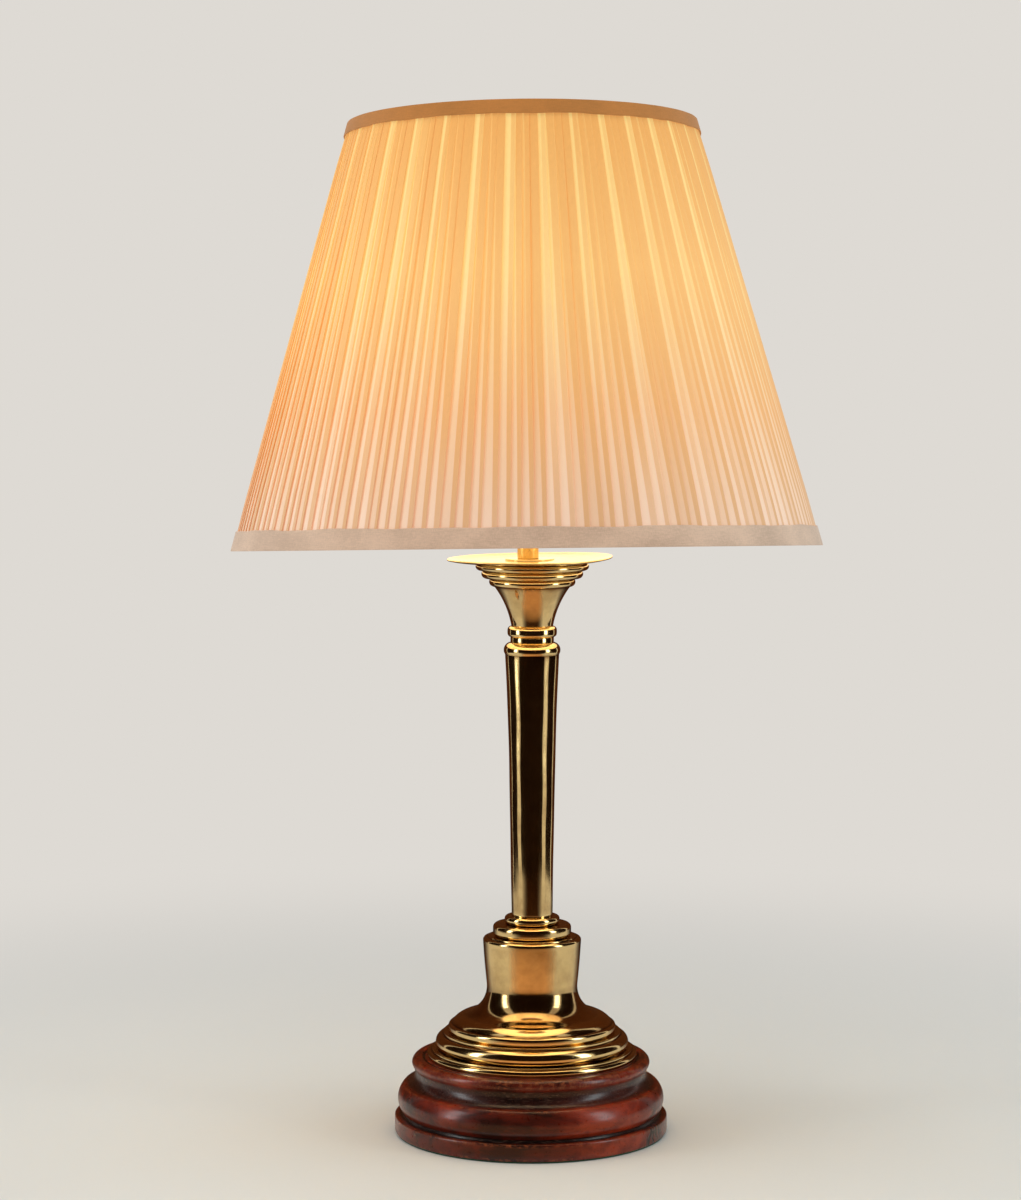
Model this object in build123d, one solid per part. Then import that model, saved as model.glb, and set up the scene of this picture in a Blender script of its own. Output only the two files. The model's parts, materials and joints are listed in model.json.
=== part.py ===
from build123d import *
import os
from math import cos, pi, radians, sin, sqrt

# Candlestick table lamp. Millimetres, +Z up, origin at the centre of the felt's underside.
# The shade hangs in a gimbal and rests a few degrees out of level, as it does in use.

# ---------------------------------------------------------------- clearances
seat_gap = 0.1          # radial gap between two fixed pieces
run_gap = 0.06          # radial gap of a turning or sliding fit
free_gap = 0.3          # gap between pieces that only pass each other
weld_gap = 0.03         # thickness of a weld between two wires

# ---------------------------------------------------------------- felt and turned wooden base
base_shift = -0.7       # the wooden base is fixed a little off the brass parts' axis, along X
felt_thickness = 0.8
felt_inset = 1.1        # of the felt's edge from the disc's
disc_radius = 77.9
disc_height = 9.7
disc_edge = 0.8
groove_depth = 4.4      # of the groove, inside the disc's edge
groove_height = 1.0
torus_radius = 76.0
torus_root = 72.8
torus_height = 16.5
arris_radius = 71.4
shoulder_height = 5.5
shoulder_bulge = 70.3
neck_radius = 66.1
bead_radius = 67.9
bead_height = 10.0
bead_top_radius = 64.7
widest_share = 0.6      # share of a turned bead's height where it is widest
recess_radius = 52.0
web_thickness = 19.5    # wood left above the recess
spot_depth = 6.4        # counterbore for the inlet's flange

# ---------------------------------------------------------------- cord inlet
inlet_radius = 5.0
inlet_bore = 3.3
inlet_flange_radius = 7.5
inlet_flange = 1.6
inlet_sink = 1.8        # of the flange's seat inside the widest part of the wood
inlet_overrun = 1.0     # bushing showing inside the recess

# ---------------------------------------------------------------- threaded rod and its nut
rod_radius = 4.0
rod_bore = 2.9
rod_hole = 5.4          # hole for the rod in the lower pieces
upper_hole = 6.8        # hole in the upper pieces, where the leaning rod has wandered off the axis
rod_lean = -0.44        # degrees about Y: the rod leans left in its holes, with all that it carries
rod_tail = 10.5         # rod showing below the washer
rod_grip = 8.0          # rod screwed into the lampholder
washer_radius = 14.0
washer_thickness = 2.0
tag_radius = 8.0
tag_thickness = 0.8
tag_tail = 8.0
tag_width = 4.0
nut_across_flats = 14.0
nut_height = 5.0

# ---------------------------------------------------------------- terminal block and wires
block_length = 30.0
block_width = 16.0
block_height = 12.0
block_offset = 34.0     # from the axis towards -X
block_screw_radius = 1.8
block_screw_count = 3
block_screw_height = 2.0
slot_width = 0.6        # screwdriver slots
slot_depth = 0.5
wire_radius = 0.95
wire_spread = 1.7       # from the axis, side by side in the rod
wire_bend = 6.0
wire_low = 5.0          # height of the wires' run under the rod
wire_grip = 2.0         # wire held inside the terminal block
wire_lead = 8.0         # straight wire out of the block
wire_rise = 4.0         # wire standing out of the top of the rod

# ---------------------------------------------------------------- brass foot, lower casting
flange_radius = 60.0
flange_height = 3.6
fillet_radius_lower = 57.2
fillet_height_lower = 1.2
flange_edge = 0.6
roll_radius = 55.0
roll_root = 53.3
roll_height = 8.2
roll_peak = 0.45        # share of the roll's height where it is widest
roll_top_radius = 51.6
ledge_radius = 50.6
ledge_height = 1.5
foot_wall = 3.0
foot_hollow_radius = 44.0

# ---------------------------------------------------------------- brass foot, bell
lip_radius = 47.7
lip_height = 4.9
lip_edge = 1.8
lip_foot = 1.0          # the lip's edge turned in at its foot
crown_radius = 38.5
crown_height = 4.9
crown_fall = 4.9        # from the lip to the middle of the crown's sweep, outwards
crown_share = 0.64
waist_radius = 25.9
waist_height = 17.7
sweep_radius = 29.7     # radius of the sweep where it is sampled
sweep_height = 5.4
barrel_height = 25.0
barrel_middle = 27.1
barrel_radius = 28.0
rim_height = 2.4
rim_radius = 27.5
rim_top_radius = 26.3
rim_step = 1.7
rim_neck_radius = 25.1
bell_wall = 3.0

# ---------------------------------------------------------------- collar of two rings
low_ring_radius = 22.3
low_ring_height = 7.0
high_ring_radius = 15.7
high_ring_height = 4.6
ring_edge = 2.2
high_ring_edge = 1.8

# ---------------------------------------------------------------- stem
stem_height = 156.3
stem_foot_radius = 11.7
stem_middle_radius = 13.2
stem_middle_height = 92.0
stem_flare_radius = 14.1
stem_flare_drop = 33.3  # below the stem's end
stem_top_radius = 15.3
stem_bead_height = 6.8
stem_bead_radius = 15.7
stem_bead_step = 0.8
stem_bead_fall = 2.6    # from the bead's turn to the stem's end
stem_hollow = 8.0
stem_end_wall = 12.0

# ---------------------------------------------------------------- collar under the cup
fillet_ring_radius = 12.3
fillet_ring_height = 3.0
collar_radius = 14.0
collar_height = 6.2

# ---------------------------------------------------------------- cup with three stepped rings
cup_foot_radius = 11.8
cup_flare_radius = 15.0
cup_flare_height = 11.0
cup_top_radius = 21.6
cup_height = 22.6
cup_ring_radii = (24.4, 28.8, 32.1)
cup_ring_heights = (4.6, 4.6, 4.0)
cup_ring_insets = (22.4, 26.2, 29.8)
cup_hollow = 19.0
cup_ring_peak = 0.45    # share of a ring's height where it is widest
cup_ring_fall = 1.0     # a ring's top edge outside its foot
cup_boss_radius = 9.0
cup_hollow_depth = 12.0
cup_hollow_slope = 4.0

# ---------------------------------------------------------------- drip pan and the tube above it
pan_radius = 46.9
pan_thickness = 1.0
pan_rise = 1.3          # how far the rim stands above the pan's floor
pan_turn = 5.0          # width of the turned-up rim
pan_shift = -1.4        # the loose pan sits off the axis, along X
pan_floor_radius = 30.0
pan_hub_radius = 14.0
pan_hub_height = 2.6
pan_lean = 0.95         # degrees, left side down
tube_radius = 6.0
tube_height = 23.0

# ---------------------------------------------------------------- lampholder
holder_neck_radius = 8.5
holder_neck_height = 10.0
holder_radius = 19.5
holder_dome_height = 8.0
holder_cap_height = 24.0
holder_wall = 1.5
holder_dome_run = 3.0    # the dome's shoulder inside the holder's radius
holder_dome_rise = 2.4
core_height = 10.0
core_floor = 19.0       # height of the core's underside above the holder's foot
skirt_height = 34.0
sleeve_height = 28.0
liner_radius = 13.4
liner_wall = 0.5
liner_height = 27.0
contact_radius = 3.6
contact_height = 2.0
contact_gap = 0.3       # between the contact and the bulb's tip
terminal_radius = 1.8
terminal_height = 2.5
terminal_offset = 11.0
terminal_shift = 6.6    # terminal screws in front of the wires, along X
wire_hole = 1.45

# ---------------------------------------------------------------- push-bar switch
bar_radius = 1.8
bar_reach = 26.0        # half the bar's length
bar_knob_radius = 3.4
bar_knob_height = 3.0
bar_level = 2.6         # above the core's underside
bar_throw = 4.0         # travel from on to off

# ---------------------------------------------------------------- bulb
bulb_radius = 30.0
bulb_length = 107.0
bulb_neck_radius = 16.5
bulb_neck_height = 42.0
bulb_shoulder_drop = 17.2   # shoulder below the bulb's centre
bulb_sweep = 3.2        # out and up to the middle of the neck's sweep
bulb_sweep_rise = 10.0
bulb_root_cover = 12.0  # glass inside the cap
bulb_wall = 0.8
cap_radius = 13.25
cap_height = 20.0
cap_wall = 0.4
insulator_height = 4.0
insulator_radius = 9.5
insulator_share = 0.7
tip_radius = 4.8
tip_height = 1.8
bulb_stem_radius = 4.5
bulb_stem_height = 30.0
filament_radius = 10.0
filament_wire = 0.5
filament_foot = 1.0     # lead wires from the axis where they leave the stem
filament_rise = 4.0
filament_bow = 3.0

# ---------------------------------------------------------------- shade carrier on the lampholder
seat_height = 45.0      # carrier's ring above the lampholder's foot
clamp_ring_radius = 27.0
clamp_ring_height = 5.0
clamp_ring_ribs = 24
rib_radius = 0.85       # notches round the clamp rings and the head nut
carrier_plate = 1.5
carrier_rim = 3.5       # carrier's ring showing outside the clamp rings
carrier_height = 126.6
carrier_wire = 1.6
carrier_reach = 40.0    # wires from the axis, beside the bulb
carrier_bend = 12.0
carrier_crook = 14.4    # height of the wires' bends above the ring and below the head
carrier_inset = 1.5     # wires' ends inside the head's edge
carrier_legs = 3
carrier_first_leg = 226.0   # plan angle of the first wire, degrees
carrier_skew = -1.4     # how far the bent carrier's head stands off the rod's line, along X
carrier_lean = -0.16    # degrees about Y, the head leans left of the rod's line
head_radius = 21.5
spigot_radius = 14.5
spigot_bore = 12.6
spigot_height = 9.0

# ---------------------------------------------------------------- gimbal
gimbal_plate = 1.5
gimbal_ring_radius = 24.0
gimbal_tab_width = 10.0
ear_overlap = 2.0       # of the ears on the gimbal's ring
pivot_height = 25.0     # pivots above the carrier's head
head_nut_radius = 20.0
head_nut_height = 5.0
pin_radius = 2.0
pin_head_radius = 3.6
pin_head_height = 1.6
tilt_rest = -3.7        # degrees about the gimbal's pivots, top away from the front

# ---------------------------------------------------------------- shade
shade_height = 238.0
shade_bottom_radius = 165.6
shade_top_radius = 97.9
shade_pivot_drop = 24.5     # pivots below the shade's top edge
trim_thickness = 0.8
bottom_trim_height = 11.0
top_trim_height = 7.8
trim_inner_leg = 6.0
cloth_gap = 0.12
pleat_count = 150
pleat_depth = 1.3
pleat_base = 0.4        # cloth under the bottom of a pleat
pleat_share = 0.82      # part of a pleat that slopes, the rest is its fold
frame_wire = 1.5
strut_wire = 1.2
lining_thickness = 0.5
frame_struts = 6
first_strut = 46.0      # plan angle of the first strut, degrees
arm_thickness = 1.6
arm_width = 8.0
arm_drop = 6.0
slot_reach = 6.0        # depth of the arms' slots in the lining and the trim
slot_height = 2.8

# ---------------------------------------------------------------- levels worked out from the sizes
wood_top = felt_thickness + disc_height + groove_height + torus_height + shoulder_height + bead_height
flange_top = wood_top + flange_height + fillet_height_lower + roll_height + ledge_height
bell_top = flange_top + lip_height + crown_height + waist_height + barrel_height + rim_height
collar_top = bell_top + low_ring_height + high_ring_height
stem_top = collar_top + stem_height
neck_top = stem_top + fillet_ring_height + collar_height
cup_top = neck_top + cup_height + sum(cup_ring_heights)
pan_top = cup_top + pan_hub_height
holder_foot = pan_top + tube_height
recess_roof = wood_top - web_thickness
inlet_seat = torus_radius - inlet_sink
inlet_level = felt_thickness + disc_height + groove_height + torus_height / 2
rod_low = recess_roof - washer_thickness - rod_tail
nut_top = recess_roof - washer_thickness - tag_thickness
rod_high = holder_foot + rod_grip
core_bottom = holder_foot + core_floor
core_top = core_bottom + core_height
skirt_bottom = holder_foot + holder_cap_height
skirt_top = skirt_bottom + skirt_height
bulb_tip = core_top + contact_height + contact_gap
bulb_centre = bulb_tip + bulb_length - bulb_radius
carrier_level = holder_foot + seat_height
head_level = carrier_level + carrier_height

# The rod leans about its nut, and takes the lampholder, the bulb and the carrier with it.
# The gimbal's own frame stands on the carrier's head, and the shade's frame in the pivots.
base_place = Pos(base_shift, 0, 0)
rod_place = Pos(0, 0, nut_top) * Rot(0, rod_lean, 0) * Pos(0, 0, -nut_top)
head_on_rod = Pos(carrier_skew, 0, head_level) * Rot(0, carrier_lean, 0)
head_place = rod_place * head_on_rod
shade_place = head_place * Pos(0, 0, pivot_height) * Rot(tilt_rest, 0, 0)
shade_low = shade_pivot_drop - shade_height     # shade's bottom edge below the pivots


# ---------------------------------------------------------------- helpers
def section(point):
    """A point (r, z) of a turned outline."""
    return Vector(point[0], 0, point[1])


def outline(start, *steps):
    """Closed face of a turned outline. A step is a point (r, z) for a straight run,
    or a pair of points for an arc through the first to the second."""
    edges, here = [], start
    for step in steps:
        if isinstance(step[0], tuple):
            via, end = step
            edges.append(ThreePointArc(section(here), section(via), section(end)))
        else:
            end = step
            edges.append(Line(section(here), section(end)))
        here = end
    if here != start:
        edges.append(Line(section(here), section(start)))
    return make_face(Wire(edges))


def turned(start, *steps):
    """Solid of revolution of an outline about Z."""
    return revolve(outline(start, *steps), Axis.Z)


def ring(inner, outer, low, high):
    """Plain ring with square edges, or a disc where inner is 0."""
    disc = Pos(0, 0, low) * Cylinder(outer, high - low, align=(Align.CENTER, Align.CENTER, Align.MIN))
    if inner == 0:
        return disc
    return disc - Pos(0, 0, low) * Cylinder(inner, high - low, align=(Align.CENTER, Align.CENTER, Align.MIN))


def bead(bore, bulge, low, high, edge):
    """Half-round ring: straight bulge with a rounded edge above and below."""
    soft = edge * (1 - 2 ** -0.5)
    return turned((bore, low), (bulge - edge, low),
                  ((bulge - soft, low + soft), (bulge, low + edge)),
                  (bulge, high - edge),
                  ((bulge - soft, high - soft), (bulge - edge, high)),
                  (bore, high))


def rod_along(path, radius):
    """Round wire swept along a path."""
    start = Plane(path @ 0, z_dir=path % 0)
    return sweep(start * Circle(radius), path=path)


def bent_wire(points, bends, radius):
    """Round wire along straight runs joined by arcs, one bend radius for each corner."""
    return rod_along(FilletPolyline(*points, radius=bends), radius)


def turned_copies(shape, count, first=0.0):
    """The shape and its copies, evenly round Z."""
    return [Rot(0, 0, first + 360 * k / count) * shape for k in range(count)]


def on_rod(shape):
    """The shape, or each of several, moved from the upright axis to the leaning rod's."""
    return [rod_place * each for each in shape] if isinstance(shape, list) else rod_place * shape


def lying(radius, near, far):
    """Cylinder along +X between two distances from the origin."""
    upright = Cylinder(radius, far - near, align=(Align.CENTER, Align.CENTER, Align.MIN))
    return Pos(near, 0, 0) * Rot(0, 90, 0) * upright


def slotted_screw(radius, height, align):
    """Round screw with a screwdriver slot across each end."""
    slot = Box(3 * radius, slot_width, 2 * slot_depth)
    return Cylinder(radius, height, align=(Align.CENTER, Align.CENTER, align)) - slot


# ---------------------------------------------------------------- base
def base_felt():
    return base_place * ring(0, disc_radius - felt_inset, 0, felt_thickness)


def wood_base():
    low = felt_thickness
    disc_top = low + disc_height
    torus_low = disc_top + groove_height
    arris = torus_low + torus_height
    neck = arris + shoulder_height
    soft = disc_edge * (1 - 2 ** -0.5)
    body = turned(
        (rod_hole, wood_top), (rod_hole, recess_roof), (recess_radius, recess_roof),
        (recess_radius, low), (disc_radius - disc_edge, low),
        ((disc_radius - soft, low + soft), (disc_radius, low + disc_edge)),
        (disc_radius, disc_top - disc_edge),
        ((disc_radius - soft, disc_top - soft), (disc_radius - disc_edge, disc_top)),
        (disc_radius - groove_depth, disc_top), (disc_radius - groove_depth, torus_low), (torus_root, torus_low),
        ((torus_radius, torus_low + torus_height / 2), (arris_radius, arris)),
        ((shoulder_bulge, arris + shoulder_height * widest_share), (neck_radius, neck)),
        ((bead_radius, neck + bead_height * widest_share), (bead_top_radius, wood_top)),
    )
    hole = inlet_line(inlet_radius + seat_gap, 0, inlet_seat + spot_depth)
    spot = inlet_line(inlet_flange_radius + free_gap, inlet_seat, inlet_seat + spot_depth)
    return base_place * (body - hole - spot)


def inlet_line(radius, near, far):
    """Cylinder along +Y at the cord inlet's level, between two distances from the axis."""
    return Pos(0, 0, inlet_level) * Rot(0, 0, 90) * lying(radius, near, far)


def cord_inlet_bushing():
    end = inlet_seat + inlet_flange
    tube = inlet_line(inlet_radius, recess_radius - inlet_overrun, inlet_seat)
    flange = inlet_line(inlet_flange_radius, inlet_seat, end)
    return base_place * (tube + flange - inlet_line(inlet_bore, 0, 2 * end))


def rod_washer():
    return ring(rod_hole, washer_radius, recess_roof - washer_thickness, recess_roof)


def earth_tag():
    eye = ring(rod_radius + seat_gap, tag_radius, nut_top, nut_top + tag_thickness)
    tail = Box(tag_tail, tag_width, tag_thickness, align=(Align.CENTER, Align.CENTER, Align.MIN))
    return eye + Pos(-tag_radius - tag_tail / 4, 0, nut_top) * tail


def rod_nut():
    hexagon = RegularPolygon(nut_across_flats / 2, 6, major_radius=False)
    nut = Pos(0, 0, nut_top - nut_height) * extrude(hexagon, nut_height)
    return nut - Pos(0, 0, nut_top) * Cylinder(rod_radius + seat_gap, 3 * nut_height)


def threaded_rod():
    return ring(rod_bore, rod_radius, rod_low, rod_high)


def terminal_block():
    block = Box(block_width, block_length, block_height, align=(Align.CENTER, Align.CENTER, Align.MAX))
    block = Pos(-block_offset, 0, recess_roof) * block
    entry = Pos(0, 0, block_height / 2) * lying(wire_radius + seat_gap, block_width / 4, block_width)
    for place in block_places():
        block -= place * Cylinder(block_screw_radius + seat_gap, 2 * block_screw_height)
        block -= place * entry
    return block


def block_places():
    """Places of the terminal screws on the block's underside."""
    pitch = block_length / block_screw_count
    shift = (block_screw_count - 1) / 2
    low = recess_roof - block_height
    return [Pos(-block_offset, (k - shift) * pitch, low) for k in range(block_screw_count)]


def terminal_screws():
    screw = slotted_screw(block_screw_radius, block_screw_height, Align.MIN)
    return [place * screw for place in block_places()]


def inner_wire(side):
    """Wire from the terminal block, under the rod, up through it and out to a terminal of the core."""
    pitch = block_length / block_screw_count
    level = recess_roof - block_height / 2
    start = -block_offset + block_width / 2 - wire_grip
    end = side * (terminal_offset - wire_radius)
    on_axis = [(0, side * wire_spread, wire_low), (0, side * wire_spread, rod_high + wire_rise),
               (0, end, core_bottom - 2 * wire_radius), (0, end, core_bottom + 2 * wire_radius)]
    points = [(start, side * pitch, level), (start + wire_lead, side * pitch, level),
              (-2 * wire_bend, side * (pitch - wire_grip), wire_low)]
    points += [(rod_place * Pos(*point)).position for point in on_axis]
    bend = wire_bend / 3
    return bent_wire(points, [bend, bend, wire_bend, bend, bend / 2], wire_radius)


def earth_wire():
    level = recess_roof - block_height / 2
    start = -block_offset + block_width / 2 - wire_grip
    eye = nut_top - wire_radius
    tail = -tag_radius - tag_tail / 4
    points = [(start, 0, level), (start + wire_lead - wire_grip, 0, level),
              (tail - tag_tail / 2, 0, eye), (tail, 0, eye)]
    bend = 1.5 * wire_radius
    return bent_wire(points, [bend, bend], wire_radius)


# ---------------------------------------------------------------- brass castings
def foot_flange():
    top = flange_height
    roll_low = top + fillet_height_lower
    roll_high = roll_low + roll_height
    high = roll_high + ledge_height
    edge = flange_height / 2
    body = turned(
        (rod_hole, high), (rod_hole, high - foot_wall), (foot_hollow_radius, high - foot_wall),
        (foot_hollow_radius, 0), (flange_radius - flange_edge, 0),
        ((flange_radius, edge), (flange_radius - 1.5 * flange_edge, top)),
        (fillet_radius_lower, top), (fillet_radius_lower, roll_low), (roll_root, roll_low),
        ((roll_radius, roll_low + roll_height * roll_peak), (roll_top_radius, roll_high)),
        (ledge_radius, roll_high), (ledge_radius, high),
    )
    return Pos(0, 0, wood_top) * body


def foot_bell():
    lip_top = lip_height
    crown = lip_top + crown_height
    waist = crown + waist_height
    barrel = waist + barrel_height
    high = barrel + rim_height
    soft = lip_edge * (1 - 2 ** -0.5)
    body = turned(
        (rod_hole, high), (rod_hole, high - bell_wall), (waist_radius - bell_wall, high - bell_wall),
        (waist_radius - bell_wall, crown), (lip_radius - 2 * bell_wall, lip_top - bell_wall),
        (lip_radius - 2 * bell_wall, 0),
        (lip_radius - lip_foot, 0), (lip_radius, lip_foot), (lip_radius, lip_top - lip_edge),
        ((lip_radius - soft, lip_top - soft), (lip_radius - lip_edge, lip_top)),
        ((lip_radius - crown_fall, lip_top + crown_height * crown_share), (crown_radius, crown)),
        ((sweep_radius, crown + sweep_height), (waist_radius, waist)),
        ((barrel_middle, waist + barrel_height / 2), (barrel_radius, barrel)),
        ((rim_radius, barrel + rim_height / 2), (rim_top_radius, barrel + rim_step)),
        (rim_neck_radius, barrel + rim_step), (rim_neck_radius, high),
    )
    return Pos(0, 0, flange_top) * body


def foot_collar():
    low = bead(rod_hole, low_ring_radius, bell_top, bell_top + low_ring_height, ring_edge)
    high = bead(rod_hole, high_ring_radius, bell_top + low_ring_height, collar_top, high_ring_edge)
    return low + high


def stem():
    hollow_top = stem_height - stem_end_wall
    bead_low = stem_height - stem_bead_height
    body = turned(
        (rod_hole, 0), (stem_foot_radius, 0), (stem_middle_radius, stem_middle_height),
        ((stem_flare_radius, stem_height - stem_flare_drop), (stem_top_radius, bead_low)),
        (stem_bead_radius, bead_low + stem_bead_step),
        ((stem_bead_radius, stem_height - stem_bead_fall), (fillet_ring_radius, stem_height)),
        (upper_hole, stem_height), (upper_hole, hollow_top), (stem_hollow, hollow_top),
        (stem_hollow, stem_end_wall), (rod_hole, stem_end_wall),
    )
    return Pos(0, 0, collar_top) * body


def neck_collar():
    low = stem_top
    fillet_ring = ring(upper_hole, fillet_ring_radius, low, low + fillet_ring_height)
    roll = bead(upper_hole, collar_radius, low + fillet_ring_height, neck_top, ring_edge)
    return fillet_ring + roll


def cup():
    steps = [(upper_hole, 0), (cup_foot_radius, 0),
             ((cup_flare_radius, cup_flare_height), (cup_top_radius, cup_height))]
    level = cup_height
    for radius, height, foot in zip(cup_ring_radii, cup_ring_heights, cup_ring_insets):
        widest = (radius, level + height * cup_ring_peak)
        steps += [(foot, level), (widest, (foot + cup_ring_fall, level + height))]
        level += height
    floor = level - cup_hollow_depth
    steps += [(cup_hollow, level), (cup_hollow, floor + cup_hollow_slope),
              (cup_hollow - 2 * cup_hollow_slope, floor), (cup_boss_radius, floor),
              (cup_boss_radius, level), (upper_hole, level)]
    return Pos(0, 0, neck_top) * turned(*steps)


def drip_pan():
    wall, turn_rise = pan_thickness, pan_rise / 3
    dish = turned(
        (rod_hole, 0), (pan_floor_radius, 0),
        ((pan_radius - pan_turn, turn_rise), (pan_radius - wall / 2, pan_rise)),
        ((pan_radius, pan_rise + wall / 2), (pan_radius - wall / 2, pan_rise + wall)),
        ((pan_radius - pan_turn - wall, turn_rise + wall), (pan_floor_radius, wall)), (rod_hole, wall),
    )
    hub = ring(rod_hole, pan_hub_radius, cup_top, pan_top)
    sink = pan_radius * sin(radians(pan_lean))
    dish = Pos(0, 0, cup_top + sink) * Rot(0, -pan_lean, 0) * dish
    core = ring(0, pan_hub_radius - weld_gap / 2, cup_top - pan_radius, pan_top + pan_radius)
    return Pos(pan_shift, 0, 0) * (dish - core + hub)


def spacer_tube():
    """Tube on the rod, its foot raised by what the lean sinks its lower side into the pan."""
    lift = tube_radius * sin(radians(abs(rod_lean))) + weld_gap
    return ring(rod_radius + seat_gap, tube_radius, pan_top + lift, holder_foot)


# ---------------------------------------------------------------- lampholder
def holder_cap():
    neck, dome = holder_neck_height, holder_neck_height + holder_dome_height
    inner = holder_radius - holder_wall
    body = turned(
        (rod_radius + seat_gap, 0), (holder_neck_radius, 0), (holder_neck_radius, neck),
        ((holder_radius - holder_dome_run, neck + holder_dome_rise), (holder_radius, dome)),
        (holder_radius, holder_cap_height), (inner, holder_cap_height), (inner, dome),
        ((inner - holder_dome_run, neck + holder_dome_rise + holder_wall / 2),
         (holder_neck_radius, neck + holder_wall)),
        (rod_radius + seat_gap, neck + holder_wall),
    )
    cap = Pos(0, 0, holder_foot) * body
    return cap - bar_line(bar_radius + run_gap, bar_reach)


def bar_line(radius, half):
    """Cylinder along X at the switch bar's level, as far to the left as to the right."""
    return Pos(0, 0, core_bottom + bar_level) * lying(radius, -half, half)


def holder_core():
    radius = holder_radius - holder_wall - seat_gap
    core = ring(0, radius, core_bottom, core_top)
    core -= bar_line(bar_radius + run_gap, bar_reach)
    for side in (-1, 1):
        post = Pos(0, side * (terminal_offset - wire_radius), core_bottom)
        core -= post * Cylinder(wire_hole, 6 * wire_radius)
    for place in terminal_places():
        core -= place * Cylinder(terminal_radius + seat_gap, 2 * terminal_height)
    return core


def terminal_places():
    """Places of the core's two terminal screws, on its top face."""
    return [Pos(terminal_shift, side * terminal_offset, core_top) for side in (-1, 1)]


def holder_terminals():
    screw = slotted_screw(terminal_radius, terminal_height, Align.MAX)
    return [place * screw for place in terminal_places()]


def centre_contact():
    return ring(0, contact_radius, core_top, core_top + contact_height)


def screw_liner():
    return ring(liner_radius, liner_radius + liner_wall, core_top, core_top + liner_height)


def holder_sleeve():
    inner = liner_radius + liner_wall + seat_gap
    outer = holder_radius - holder_wall - 2 * seat_gap
    return ring(inner, outer, core_top, core_top + sleeve_height)


def holder_skirt():
    inner = holder_radius - holder_wall
    return ring(inner, holder_radius, skirt_bottom, skirt_top)


def clamp_ring(low):
    """Ribbed ring that screws onto the skirt."""
    rib = Pos(clamp_ring_radius, 0, 0) * Cylinder(rib_radius, 3 * clamp_ring_height)
    body = ring(holder_radius + run_gap, clamp_ring_radius, low, low + clamp_ring_height)
    for notch in turned_copies(rib, clamp_ring_ribs):
        body -= Pos(0, 0, low) * notch
    return body


def switch_bar():
    reach = bar_reach + bar_knob_height
    knobs = bar_line(bar_knob_radius, reach) - bar_line(2 * bar_knob_radius, bar_reach)
    return Pos(bar_throw / 2, 0, 0) * (bar_line(bar_radius, reach) + knobs)


# ---------------------------------------------------------------- bulb
def bulb_glass():
    neck = bulb_tip + bulb_neck_height
    shoulder = bulb_centre - bulb_shoulder_drop
    wall = bulb_wall
    root = cap_radius - cap_wall - seat_gap
    inner_radius = bulb_radius - wall
    belly = sqrt(bulb_radius ** 2 - bulb_shoulder_drop ** 2)
    inner_belly = sqrt(inner_radius ** 2 - bulb_shoulder_drop ** 2)
    collar = bulb_tip + tip_height + insulator_height + cap_height
    low = collar - bulb_root_cover
    sweep_out, sweep_up = bulb_neck_radius + bulb_sweep, neck + bulb_sweep_rise
    outer = [(root, low), (root, collar), (bulb_neck_radius, neck),
             ((sweep_out, sweep_up), (belly, shoulder)),
             ((bulb_radius, bulb_centre), (0, bulb_centre + bulb_radius))]
    inner = [(0, bulb_centre + bulb_radius - wall),
             ((inner_radius, bulb_centre), (inner_belly, shoulder)),
             ((sweep_out - wall, sweep_up), (bulb_neck_radius - wall, neck)),
             (root - wall, collar), (root - wall, low)]
    return turned(*outer, *inner)


def bulb_cap():
    low = bulb_tip + tip_height + insulator_height
    return ring(cap_radius - cap_wall, cap_radius, low, low + cap_height)


def bulb_insulator():
    low = bulb_tip + tip_height
    return turned((0, low), (tip_radius, low), (insulator_radius, low + insulator_height * insulator_share),
                  (cap_radius - cap_wall, low + insulator_height), (0, low + insulator_height))


def bulb_contact():
    edge = tip_height / 2
    soft = edge * (1 - 2 ** -0.5)
    return turned((0, bulb_tip), (tip_radius - edge, bulb_tip),
                  ((tip_radius - soft, bulb_tip + soft), (tip_radius, bulb_tip + edge)),
                  (tip_radius, bulb_tip + tip_height),
                  (0, bulb_tip + tip_height))


def bulb_stem():
    low = bulb_tip + tip_height + insulator_height
    return turned((0, low), (bulb_stem_radius, low), (bulb_stem_radius, low + bulb_stem_height / 2),
                  (bulb_stem_radius / 2, low + bulb_stem_height), (0, low + bulb_stem_height))


def filament():
    """Two lead wires up from the glass stem and an open loop between them."""
    low = bulb_tip + tip_height + insulator_height + bulb_stem_height
    foot, rise = filament_foot, low + filament_rise
    spread, knee = filament_radius, bulb_centre - filament_rise
    points = [(-foot, 0, low), (-foot, 0, rise), (-spread, 0, knee), (-spread / 2, filament_bow, bulb_centre),
              (spread / 2, filament_bow, bulb_centre), (spread, 0, knee), (foot, 0, rise), (foot, 0, low)]
    bend = 2 * filament_wire
    return bent_wire(points, [1.5 * bend, bend, bend, bend, bend, 1.5 * bend], filament_wire)


# ---------------------------------------------------------------- shade carrier
def carrier_seat():
    """Ring clamped on the lampholder's skirt."""
    rim = clamp_ring_radius + carrier_rim
    return ring(holder_radius + free_gap, rim, carrier_level, carrier_level + carrier_plate)


def carrier_head():
    """Plate with the spigot that the gimbal sits on, in the head's frame."""
    plate = ring(spigot_bore, head_radius, -carrier_plate, 0)
    return head_place * (plate + ring(spigot_bore, spigot_radius, -carrier_plate, spigot_height))


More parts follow.
